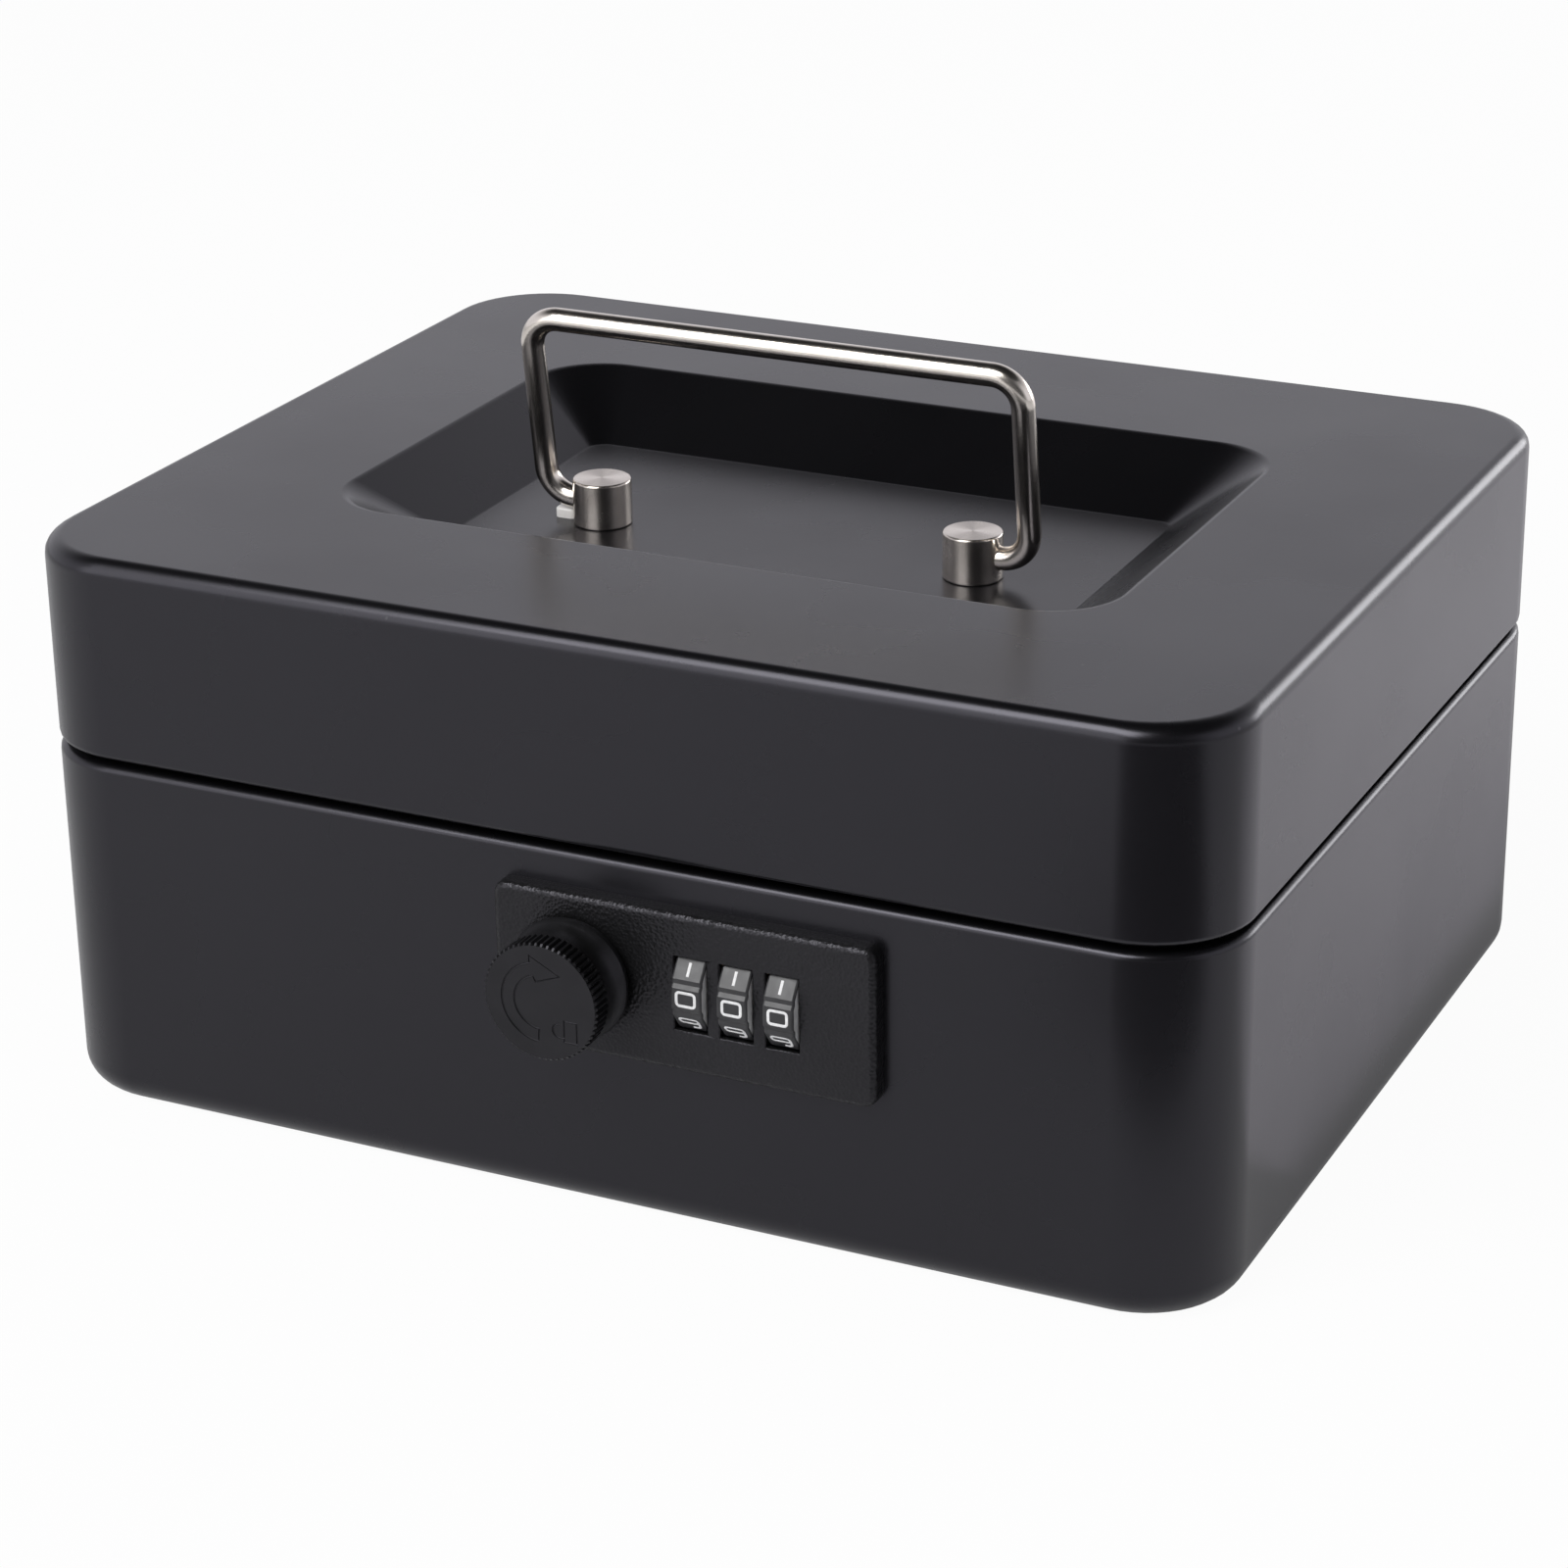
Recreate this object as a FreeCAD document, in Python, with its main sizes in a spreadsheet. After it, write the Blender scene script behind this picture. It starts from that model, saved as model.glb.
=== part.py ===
"""Cash box with a folding bail and a three-dial combination lock, as separate pieces, in millimetres.

The origin is the middle of the underside: +X to the right seen from the front, +Y to the rear, +Z up.
The lid is closed, the bail stands up, and the knob is in its open position.
"""
import FreeCAD, Part
import os
import re
import Sketcher

# Driving dimensions, in millimetres and degrees
SIZES = {
    # pressed steel box
    "box_width": 200.0,
    "box_depth": 160.0,
    "box_height": 93.6,
    "corner_radius": 16.0,
    "sheet_metal": 1.0,
    "lid_edge_height": 60.4,
    "seam_gap": 1.0,
    "rim_round": 1.2,
    "base_bottom_round": 5.2,
    "lid_top_round": 2.4,
    "base_flange": 8.0,
    "lid_flange": 3.0,
    # sunk recess in the lid's top
    "recess_rim_width": 133.0,
    "recess_rim_depth": 85.0,
    "recess_rim_corner": 12.5,
    "recess_floor_width": 106.0,
    "recess_floor_depth": 54.0,
    "recess_floor_corner": 3.0,
    "recess_sink": 9.3,
    "recess_rim_round": 2.0,
    "recess_floor_round": 1.0,
    # handle
    "post_spacing": 65.4,
    "post_forward": 9.1,
    "post_diameter": 9.6,
    "post_height": 7.6,
    "post_edge": 0.4,
    "stud_diameter": 4.0,
    "stud_play": 0.2,
    "washer_diameter": 9.0,
    "washer_thickness": 0.8,
    "nut_flats": 7.0,
    "nut_height": 3.2,
    "stud_spare": 1.0,
    "wire_diameter": 3.8,
    "pivot_height": 3.7,
    "bail_spread": 85.0,
    "bail_rise": 31.4,
    "bail_bend": 5.0,
    "bail_entry": 5.0,
    "bail_end_play": 0.6,
    "bail_lean": 8.0,
    # hinges
    "hinge_from_side": 45.0,
    "hinge_length": 36.0,
    "hinge_inset": 0.8,
    "barrel_diameter": 4.8,
    "hinge_pin_diameter": 3.0,
    "leaf_thickness": 1.0,
    "leaf_height": 14.0,
    "knuckle_length": 12.0,
    "knuckle_gap": 0.3,
    "hinge_clearance": 0.5,
    "running_clearance": 0.05,
    # lock plate and dials
    "lock_drop": 18.2,
    "knob_centre": 0.0,
    "bezel_centre": 17.7,
    "bezel_width": 62.8,
    "bezel_height": 25.7,
    "bezel_thickness": 3.0,
    "bezel_corner": 2.2,
    "bezel_edge_round": 1.1,
    "bezel_lip": 1.6,
    "bezel_skin": 0.8,
    "window_width": 5.4,
    "window_height": 12.0,
    "dial_first": 19.2,
    "dial_pitch": 7.5,
    "dial_width": 5.0,
    "dial_flat": 7.4,
    "dial_proud": 1.6,
    "dial_facet": 3.3,
    "dial_groove": 1.1,
    "dial_edge": 0.35,
    "dial_clearance": 0.5,
    # lock housing and its screws
    "housing_margin": 0.6,
    "housing_depth": 12.5,
    "housing_web": 3.4,
    "housing_corner": 1.5,
    "cover_thickness": 1.2,
    "boss_inset": 4.3,
    "boss_diameter": 4.8,
    "boss_length": 5.0,
    "lock_screw_diameter": 2.4,
    "lock_screw_length": 12.0,
    "lock_screw_head": 4.8,
    "lock_screw_head_height": 1.8,
    "fit_gap": 0.2,
    # dial shaft, code sleeves and detent
    "dial_shaft_diameter": 3.0,
    "dial_shaft_seat": 2.4,
    "sleeve_diameter": 6.0,
    "code_disc_diameter": 9.2,
    "code_disc_thickness": 1.0,
    "code_notch_floor": 3.4,
    "code_notch_width": 2.4,
    "detent_thickness": 0.3,
    "detent_ridge": 0.55,
    "detent_ridge_width": 1.4,
    # knob, spindle and latch
    "knob_gap": 0.5,
    "knob_skirt_diameter": 19.6,
    "knob_skirt_length": 4.7,
    "knob_skirt_round": 1.0,
    "knob_neck_diameter": 16.8,
    "knob_neck_length": 0.8,
    "knob_grip_diameter": 18.9,
    "knob_grip_length": 5.0,
    "knob_grip_edge": 0.35,
    "knurl_count": 60,
    "knurl_depth": 0.4,
    "knurl_width": 0.8,
    "spindle_diameter": 7.0,
    "spindle_in_knob": 6.5,
    "spindle_square": 4.8,
    "eccentric_diameter": 11.2,
    "eccentric_thickness": 1.5,
    "latch_gap": 0.8,
    "latch_thickness": 2.0,
    "latch_hub": 14.0,
    "latch_claw_inner": 11.4,
    "latch_claw_outer": 15.0,
    "latch_claw_lead": 25.0,
    "latch_claw_trail": 52.0,
    "latch_web_width": 4.0,
    "latch_washer_diameter": 8.0,
    "latch_washer_thickness": 0.6,
    "latch_screw_diameter": 2.5,
    "latch_screw_length": 6.0,
    "latch_screw_head": 5.6,
    "latch_screw_head_height": 1.8,
    # fence and code lever
    "fence_thickness": 1.5,
    "fence_height": 4.4,
    "fence_follower_gap": 0.35,
    "fence_end_reach": 5.0,
    "fence_tooth": 0.8,
    "fence_tooth_height": 1.8,
    "fence_travel": 1.2,
    "fence_spring_length": 2.6,
    "fence_spring_leaf": 0.45,
    "slide_gap": 0.1,
    "lever_start": 22.0,
    "lever_length": 8.0,
    "lever_height": 4.0,
    "lever_rise": 4.0,
    "lever_thickness": 1.0,
    "lever_tab": 2.6,
    "lever_tab_reach": 2.0,
    "lever_travel": 4.0,
    # lid strike
    "strike_width": 7.0,
    "strike_sheet": 1.2,
    "strike_height": 10.0,
    "strike_drop": 3.6,
    "strike_foot": 5.1,
    "strike_gap": 0.6,
    "strike_tongue_gap": 2.0,
    # coin tray
    "tray_gap": 2.0,
    "tray_corner": 7.0,
    "tray_depth": 30.0,
    "tray_wall": 1.6,
    "tray_rim_inset": 6.0,
    "tray_rim_thickness": 1.6,
    "tray_divider_rear": 7.5,
    "tray_note_right": 30.0,
    "tray_scoop": 9.0,
    "tray_well_corner": 3.0,
    "tray_lock_side_gap": 4.0,
    "tray_lock_rear_gap": 3.0,
}

# Tolerance for picking edges and comparing places
NEAR = 0.01

# Distances forward of the middle of the box (towards -Y), used by the pieces of the lock
FRONT = "(box_depth / 2)"
WALL_INSIDE = "(box_depth / 2 - sheet_metal)"
BEZEL_FACE = "(box_depth / 2 + bezel_thickness)"
DIAL_AXIS = "(box_depth / 2 + bezel_thickness + dial_proud - dial_flat)"
HOUSING_BACK = f"({WALL_INSIDE} - housing_depth)"
COVER_BACK = f"({HOUSING_BACK} - cover_thickness)"
LATCH_FRONT = f"({COVER_BACK} - latch_gap)"
LATCH_BACK = f"({LATCH_FRONT} - latch_thickness)"
WEB_FRONT = f"({HOUSING_BACK} + housing_web)"
FENCE_BACK = f"({HOUSING_BACK} + lever_thickness + 2 * slide_gap)"
FENCE_FRONT = f"({FENCE_BACK} + fence_thickness)"

# Places across the lock (along X) and heights (along Z)
BASE_TOP = "(lid_edge_height - seam_gap)"
LOCK_HEIGHT = f"({BASE_TOP} - lock_drop)"
BEZEL_LEFT = "(bezel_centre - bezel_width / 2)"
BEZEL_RIGHT = "(bezel_centre + bezel_width / 2)"
BEZEL_LOW = f"({LOCK_HEIGHT} - bezel_height / 2)"
BEZEL_HIGH = f"({LOCK_HEIGHT} + bezel_height / 2)"
DIAL_LAST = "(dial_first + 2 * dial_pitch)"
DIAL_REACH = "(sqrt(dial_flat ^ 2 + (dial_facet / 2) ^ 2) + dial_clearance)"
CHAMBER_LEFT = "(dial_first - dial_width / 2 - dial_clearance)"
DISC_LEFT = "(dial_width / 2 + slide_gap)"
CHAMBER_RIGHT = f"({DIAL_LAST} + {DISC_LEFT} + code_disc_thickness + fence_travel + dial_clearance)"
CHAMBER_FLOOR = f"({LOCK_HEIGHT} - {DIAL_REACH} - detent_ridge)"
ECCENTRIC_SHIFT = "(fence_travel / 2)"
FENCE_LEFT = f"(knob_centre + eccentric_diameter / 2 - {ECCENTRIC_SHIFT} + fence_follower_gap)"
FENCE_RIGHT = f"({DIAL_LAST} + fence_end_reach)"
RECESS_FLOOR = "(box_height - recess_sink)"
HINGE_CENTRE = "(box_width / 2 - hinge_from_side)"
HINGE_BACK = "(box_depth / 2 - hinge_inset)"
HINGE_HEIGHT = "(lid_edge_height - seam_gap / 2)"
BARREL_REACH = "(barrel_diameter / 2 + hinge_clearance)"
BAIL_END = "(post_spacing / 2 + post_diameter / 2 - bail_entry)"
LEVER_LOW = f"({LOCK_HEIGHT} + lever_rise)"

DIAL_PLACES = ("dial_first", "(dial_first + dial_pitch)", DIAL_LAST)
DIGITS = 10
COIN_CUPS = 4
SIDES = {"left": -1, "right": 1}

doc = FreeCAD.newDocument("cash_box")
sheet = doc.addObject("Spreadsheet::Sheet", "sizes")
pieces = []


def fill_sheet():
    for row, (alias, value) in enumerate(SIZES.items(), start=1):
        sheet.set(f"A{row}", alias.replace("_", " "))
        sheet.set(f"B{row}", str(value))
        sheet.setAlias(f"B{row}", alias)
    doc.recompute()


def formula(text):
    """Expression text in which each size is read from the sheet."""
    return re.sub(r"[a-z]\w*", lambda w: f"sizes.{w[0]}" if w[0] in SIZES else w[0], text)


def number(text):
    return float(sheet.evalExpression(formula(text)))


def bind(target, prop, text):
    target.setExpression(prop, formula(text))


def new_body(label, x="0", y="0", z="0"):
    """Empty sub-part whose own origin stands at x, y, z."""
    body = doc.addObject("PartDesign::Body", label)
    body.Label = label
    bind(body, "Placement.Base.x", x)
    bind(body, "Placement.Base.y", y)
    bind(body, "Placement.Base.z", z)
    pieces.append(body)
    return body


def origin_feature(body, role):
    return next(item for item in body.Origin.OriginFeatures if item.Role == role)


def new_sketch(body, name, role, start):
    """Sketch parallel to an origin plane, start along its normal (+Z, -Y or +X)."""
    sketch = body.newObject("Sketcher::SketchObject", f"{body.Name}_{name}_sketch")
    sketch.AttachmentSupport = [(origin_feature(body, role), "")]
    sketch.MapMode = "FlatFace"
    bind(sketch, "AttachmentOffset.Base.z", start)
    return sketch


def constrain(sketch, kind, *where, text):
    index = sketch.addConstraint(Sketcher.Constraint(kind, *where, number(text)))
    bind(sketch, f"Constraints[{index}]", text)


def hold_point(sketch, curve, end, x, y):
    constrain(sketch, "DistanceX", -1, 1, curve, end, text=x)
    constrain(sketch, "DistanceY", -1, 1, curve, end, text=y)


def point(x, y):
    return FreeCAD.Vector(number(x), number(y), 0)


def circle(x, y, radius):
    def draw(sketch):
        ring = Part.Circle(point(x, y), FreeCAD.Vector(0, 0, 1), number(radius))
        curve = sketch.addGeometry(ring, False)
        hold_point(sketch, curve, 3, x, y)
        constrain(sketch, "Radius", curve, text=radius)
    return draw


def polygon(corners):
    def draw(sketch):
        count = len(corners)
        spots = [point(x, y) for x, y in corners]
        lines = [Part.LineSegment(spots[i], spots[(i + 1) % count]) for i in range(count)]
        curves = sketch.addGeometry(lines, False)
        for i, (x, y) in enumerate(corners):
            following = curves[(i + 1) % count]
            sketch.addConstraint(Sketcher.Constraint("Coincident", curves[i], 2, following, 1))
            hold_point(sketch, curves[i], 1, x, y)
    return draw


def rectangle(x_low, x_high, y_low, y_high):
    return polygon([(x_low, y_low), (x_high, y_low), (x_high, y_high), (x_low, y_high)])


def corner_arc(x, y, radius, quarter):
    """Quarter circle round a centre, from quarter x 90 degrees on."""
    whole = Part.Circle(point(x, y), FreeCAD.Vector(0, 0, 1), number(radius))
    right_angle = FreeCAD.Units.Quantity("90 deg").getValueAs("rad").Value
    return Part.ArcOfCircle(whole, quarter * right_angle, (quarter + 1) * right_angle)


def rounded(x_low, x_high, y_low, y_high, radius):
    """Rectangle with round corners: four arcs joined by four tangent lines."""
    centres = [
        (f"{x_high} - ({radius})", f"{y_high} - ({radius})"),
        (f"{x_low} + ({radius})", f"{y_high} - ({radius})"),
        (f"{x_low} + ({radius})", f"{y_low} + ({radius})"),
        (f"{x_high} - ({radius})", f"{y_low} + ({radius})"),
    ]

    def draw(sketch):
        arcs = [corner_arc(x, y, radius, quarter) for quarter, (x, y) in enumerate(centres)]
        curves = sketch.addGeometry(arcs, False)
        for curve, (x, y) in zip(curves, centres):
            hold_point(sketch, curve, 3, x, y)
            constrain(sketch, "Radius", curve, text=radius)
        for i in range(4):
            following = (i + 1) % 4
            line = Part.LineSegment(arcs[i].EndPoint, arcs[following].StartPoint)
            side = sketch.addGeometry(line, False)
            sketch.addConstraint(Sketcher.Constraint("Tangent", curves[i], 2, side, 1))
            sketch.addConstraint(Sketcher.Constraint("Tangent", side, 2, curves[following], 1))
    return draw


def centred(width, depth, radius):
    return rounded(f"-({width}) / 2", f"({width}) / 2", f"-({depth}) / 2", f"({depth}) / 2", radius)


def together(*outlines):
    def draw(sketch):
        for outline in outlines:
            outline(sketch)
    return draw


def pad(body, name, role, start, length, outline):
    sketch = new_sketch(body, name, role, start)
    outline(sketch)
    feature = body.newObject("PartDesign::Pad", f"{body.Name}_{name}")
    feature.Profile = sketch
    bind(feature, "Length", length)
    doc.recompute()
    return feature


def cut(body, name, role, start, depth, outline):
    """Pocket from start against the plane's normal, which has to take material away."""
    before = body.Shape.Volume
    sketch = new_sketch(body, name, role, start)
    outline(sketch)
    feature = body.newObject("PartDesign::Pocket", f"{body.Name}_{name}")
    feature.Profile = sketch
    bind(feature, "Length", depth)
    doc.recompute()
    if not body.Shape.Volume < before:
        raise RuntimeError(f"{body.Label}: {name} cuts nothing")
    return feature


def loft(body, name, kind, low_height, low_outline, high_height, high_outline):
    low = new_sketch(body, f"{name}_low", "XY_Plane", low_height)
    low_outline(low)
    high = new_sketch(body, f"{name}_high", "XY_Plane", high_height)
    high_outline(high)
    feature = body.newObject(f"PartDesign::{kind}", f"{body.Name}_{name}")
    feature.Profile = low
    feature.Sections = [high]
    feature.Ruled = True
    doc.recompute()
    return feature


def repeat_round(body, name, feature, role, count):
    """Copies of a feature, evenly spaced round one of the body's own axes."""
    pattern = body.newObject("PartDesign::PolarPattern", f"{body.Name}_{name}")
    pattern.Originals = [feature]
    pattern.Axis = (origin_feature(body, role), [""])
    pattern.Angle = 360
    bind(pattern, "Occurrences", count)
    body.Tip = pattern
    doc.recompute()
    return pattern


def dress_edges(body, name, kind, prop, size, chosen):
    """Fillet or chamfer on the edges that chosen picks."""
    base = body.Tip
    names = [f"Edge{i}" for i, edge in enumerate(base.Shape.Edges, start=1) if chosen(edge)]
    feature = body.newObject(f"PartDesign::{kind}", f"{body.Name}_{name}")
    feature.Base = (base, names)
    bind(feature, prop, size)
    doc.recompute()
    return feature


def round_edges(body, name, radius, chosen):
    return dress_edges(body, name, "Fillet", "Radius", radius, chosen)


def bevel_edges(body, name, size, chosen):
    return dress_edges(body, name, "Chamfer", "Size", size, chosen)


def span(edge, axis):
    box = edge.BoundBox
    return {"x": (box.XMin, box.XMax), "y": (box.YMin, box.YMax), "z": (box.ZMin, box.ZMax)}[axis]


def edge_at(axis, text):
    """Picks the edges that lie in the plane axis = text."""
    place = number(text)
    return lambda edge: all(abs(end - place) < NEAR for end in span(edge, axis))


def edge_inside(axis, text, reach_x, reach_y):
    """Picks the edges in the plane axis = text that stay within reach_x and reach_y of the middle."""
    flat = edge_at(axis, text)
    limits = (("x", number(reach_x) + NEAR), ("y", number(reach_y) + NEAR))

    def chosen(edge):
        return flat(edge) and all(max(map(abs, span(edge, side))) < limit for side, limit in limits)
    return chosen


def edge_outside(axis, text, reach_x, reach_y):
    """Picks the edges in the plane axis = text that do not stay within reach_x and reach_y."""
    flat = edge_at(axis, text)
    inside = edge_inside(axis, text, reach_x, reach_y)
    return lambda edge: flat(edge) and not inside(edge)


def hinge_slots(body, low, high):
    """Openings in the rear rim for the two hinge barrels."""
    half = "(hinge_length / 2 + hinge_clearance)"
    slots = [
        rectangle(f"{side} * {HINGE_CENTRE} - {half}", f"{side} * {HINGE_CENTRE} + {half}", low, high)
        for side in SIDES.values()
    ]
    start = f"-({HINGE_BACK} - {BARREL_REACH})"
    depth = f"{BARREL_REACH} + hinge_inset"
    cut(body, "hinge_slots", "XZ_Plane", start, depth, together(*slots))


def hollow_out(body, axis, text):
    """Leave a wall of sheet metal, open at the face that lies in the plane axis = text."""
    base = body.Tip
    place = number(text)
    names = [
        f"Face{i}" for i, face in enumerate(base.Shape.Faces, start=1)
        if all(abs(end - place) < NEAR for end in span(face, axis))
    ]
    feature = body.newObject("PartDesign::Thickness", f"{body.Name}_hollow")
    feature.Base = (base, names)
    feature.Reversed = True
    bind(feature, "Value", "sheet_metal")
    doc.recompute()
    return feature


def turned_rim(body, low, flange):
    """Inward flange, one sheet thick, round the open edge of a shell."""
    mouth = centred(f"box_width - 2 * {flange}", f"box_depth - 2 * {flange}", f"corner_radius - {flange}")
    ring = together(centred("box_width", "box_depth", "corner_radius"), mouth)
    pad(body, "flange", "XY_Plane", low, "sheet_metal", ring)


def make_base_shell():
    """Drawn tub: round bottom edge, rim turned inwards to carry the tray, cut-out for the lock."""
    body = new_body("base_shell")
    pad(body, "block", "XY_Plane", "0", BASE_TOP, centred("box_width", "box_depth", "corner_radius"))
    round_edges(body, "bottom_round", "base_bottom_round", edge_at("z", "0"))
    hollow_out(body, "z", BASE_TOP)
    turned_rim(body, f"{BASE_TOP} - sheet_metal", "base_flange")
    outer = edge_outside("z", BASE_TOP, "box_width / 2 - base_flange", f"{FRONT} - base_flange")
    round_edges(body, "rim_round", "rim_round", outer)
    hinge_slots(body, f"{HINGE_HEIGHT} - {BARREL_REACH}", f"{BASE_TOP} + sheet_metal")
    lock_opening = rounded(
        f"{BEZEL_LEFT} + bezel_lip", f"{BEZEL_RIGHT} - bezel_lip",
        f"{BEZEL_LOW} + bezel_lip", f"{BEZEL_HIGH} - bezel_lip",
        "bezel_corner",
    )
    cut(body, "lock_opening", "XZ_Plane", FRONT, "sheet_metal", lock_opening)


def make_lid_shell():
    """Drawn lid: sunk recess with sloping sides in its top, rim turned inwards, holes for the posts."""
    body = new_body("lid_shell")
    depth = "box_height - lid_edge_height"
    outline = centred("box_width", "box_depth", "corner_radius")
    pad(body, "block", "XY_Plane", "lid_edge_height", depth, outline)
    round_edges(body, "top_round", "lid_top_round", edge_at("z", "box_height"))
    hollow_out(body, "z", "lid_edge_height")
    slope = "atan(2 * recess_sink / (recess_rim_width - recess_floor_width))"
    spread = f"(sheet_metal * tan({slope} / 2))"
    loft(
        body, "dish", "AdditiveLoft",
        f"{RECESS_FLOOR} - sheet_metal",
        centred(f"recess_floor_width + 2 * {spread}", f"recess_floor_depth + 2 * {spread}",
                f"recess_floor_corner + {spread}"),
        "box_height - sheet_metal",
        centred(f"recess_rim_width + 2 * {spread}", f"recess_rim_depth + 2 * {spread}",
                f"recess_rim_corner + {spread}"),
    )
    loft(
        body, "recess", "SubtractiveLoft",
        RECESS_FLOOR, centred("recess_floor_width", "recess_floor_depth", "recess_floor_corner"),
        "box_height", centred("recess_rim_width", "recess_rim_depth", "recess_rim_corner"),
    )
    rim = edge_inside("z", "box_height", "recess_rim_width / 2", "recess_rim_depth / 2")
    round_edges(body, "recess_rim_round", "recess_rim_round", rim)
    floor = edge_inside("z", RECESS_FLOOR, "recess_floor_width / 2", "recess_floor_depth / 2")
    round_edges(body, "recess_floor_round", "recess_floor_round", floor)
    turned_rim(body, "lid_edge_height", "lid_flange")
    outer = edge_outside("z", "lid_edge_height", "box_width / 2 - lid_flange", f"{FRONT} - lid_flange")
    round_edges(body, "rim_round", "rim_round", outer)
    hinge_slots(body, "lid_edge_height - sheet_metal", f"{HINGE_HEIGHT} + {BARREL_REACH}")
    stud_holes = [
        circle(f"{side} * post_spacing / 2", "-post_forward", "stud_diameter / 2 + stud_play")
        for side in SIDES.values()
    ]
    cut(body, "stud_holes", "XY_Plane", RECESS_FLOOR, "sheet_metal", together(*stud_holes))


def make_handle_post(name, turn):
    """Turned post with a stud through the lid; the bail's end turns in the hole in its outer side."""
    side = SIDES[name]
    body = new_body(f"handle_post_{name}", f"{side} * post_spacing / 2", "-post_forward", RECESS_FLOOR)
    body.Placement.Rotation = FreeCAD.Rotation(FreeCAD.Vector(0, 0, 1), turn)
    pad(body, "barrel", "XY_Plane", "0", "post_height", circle("0", "0", "post_diameter / 2"))
    bevel_edges(body, "top_edge", "post_edge", edge_at("z", "post_height"))
    stud_length = "sheet_metal + washer_thickness + nut_height + stud_spare"
    pad(body, "stud", "XY_Plane", f"-({stud_length})", stud_length, circle("0", "0", "stud_diameter / 2"))
    bore = circle("0", "pivot_height", "wire_diameter / 2 + running_clearance")
    cut(body, "pivot_bore", "YZ_Plane", "post_diameter / 2", "bail_entry + bail_end_play", bore)


def make_post_washers():
    height = f"{RECESS_FLOOR} - sheet_metal - washer_thickness"
    body = new_body("handle_washers", "0", "-post_forward", height)
    rings = []
    for side in SIDES.values():
        centre = f"{side} * post_spacing / 2"
        rings.append(circle(centre, "0", "washer_diameter / 2"))
        rings.append(circle(centre, "0", "stud_diameter / 2 + stud_play"))
    pad(body, "rings", "XY_Plane", "0", "washer_thickness", together(*rings))


def hexagon(x, flats):
    """Six corners round (x, 0), with the given distance across the flats."""
    radius = f"{flats} / (2 * cos(30))"
    return polygon([(f"{x} + {radius} * cos({60 * k})", f"{radius} * sin({60 * k})") for k in range(6)])


def make_post_nuts():
    height = f"{RECESS_FLOOR} - sheet_metal - washer_thickness - nut_height"
    body = new_body("handle_nuts", "0", "-post_forward", height)
    outlines = []
    for side in SIDES.values():
        centre = f"{side} * post_spacing / 2"
        outlines.append(hexagon(centre, "nut_flats"))
        outlines.append(circle(centre, "0", "stud_diameter / 2"))
    pad(body, "nuts", "XY_Plane", "0", "nut_height", together(*outlines))


def bail_path(sketch):
    """Centre line of the bent wire: stub, bend, leg, bend, grip, and the same down the other side."""
    leg = "(bail_spread / 2)"
    near = f"({leg} - bail_bend)"
    high = "(bail_rise - bail_bend)"
    centres = [(f"-{near}", "bail_bend"), (f"-{near}", high), (near, high), (near, "bail_bend")]
    quarters = (2, 1, 0, 3)
    arcs = [corner_arc(x, y, "bail_bend", quarter) for (x, y), quarter in zip(centres, quarters)]
    arc_curves = sketch.addGeometry(arcs, False)
    for curve, (x, y) in zip(arc_curves, centres):
        hold_point(sketch, curve, 3, x, y)
        constrain(sketch, "Radius", curve, text="bail_bend")
    stops = [point(f"-{BAIL_END}", "0")]
    for arc in arcs:
        stops.append(arc.EndPoint)
        stops.append(arc.StartPoint)
    stops.append(point(BAIL_END, "0"))
    runs = [Part.LineSegment(stops[i], stops[i + 1]) for i in range(0, len(stops), 2)]
    lines = sketch.addGeometry(runs, False)
    for i, curve in enumerate(arc_curves):
        sketch.addConstraint(Sketcher.Constraint("Tangent", lines[i], 2, curve, 2))
        sketch.addConstraint(Sketcher.Constraint("Tangent", curve, 1, lines[i + 1], 1))
    hold_point(sketch, lines[0], 1, f"-{BAIL_END}", "0")
    hold_point(sketch, lines[-1], 2, BAIL_END, "0")


def make_handle_bail():
    """Bail of round wire, drawn upright about its pivot line and leant forward as it stands."""
    body = new_body("handle_bail", "0", "-post_forward", f"{RECESS_FLOOR} + pivot_height")
    body.Placement.Rotation = FreeCAD.Rotation(FreeCAD.Vector(1, 0, 0), number("bail_lean"))
    bind(body, "Placement.Rotation.Angle", "bail_lean")
    path = new_sketch(body, "path", "XZ_Plane", "0")
    bail_path(path)
    section = new_sketch(body, "section", "YZ_Plane", f"-{BAIL_END}")
    circle("0", "0", "wire_diameter / 2")(section)
    wire = body.newObject("PartDesign::AdditivePipe", "handle_bail_wire")
    wire.Profile = section
    wire.Spine = path
    doc.recompute()


def knuckle_runs(middle):
    """Start and length, along the pin, of the middle knuckle or of the two outer ones."""
    half = "(hinge_length / 2)"
    if middle:
        return [("-(knuckle_length / 2)", "knuckle_length")]
    outer = f"({half} - knuckle_length / 2 - knuckle_gap)"
    return [(f"-{half}", outer), ("(knuckle_length / 2 + knuckle_gap)", outer)]


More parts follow.
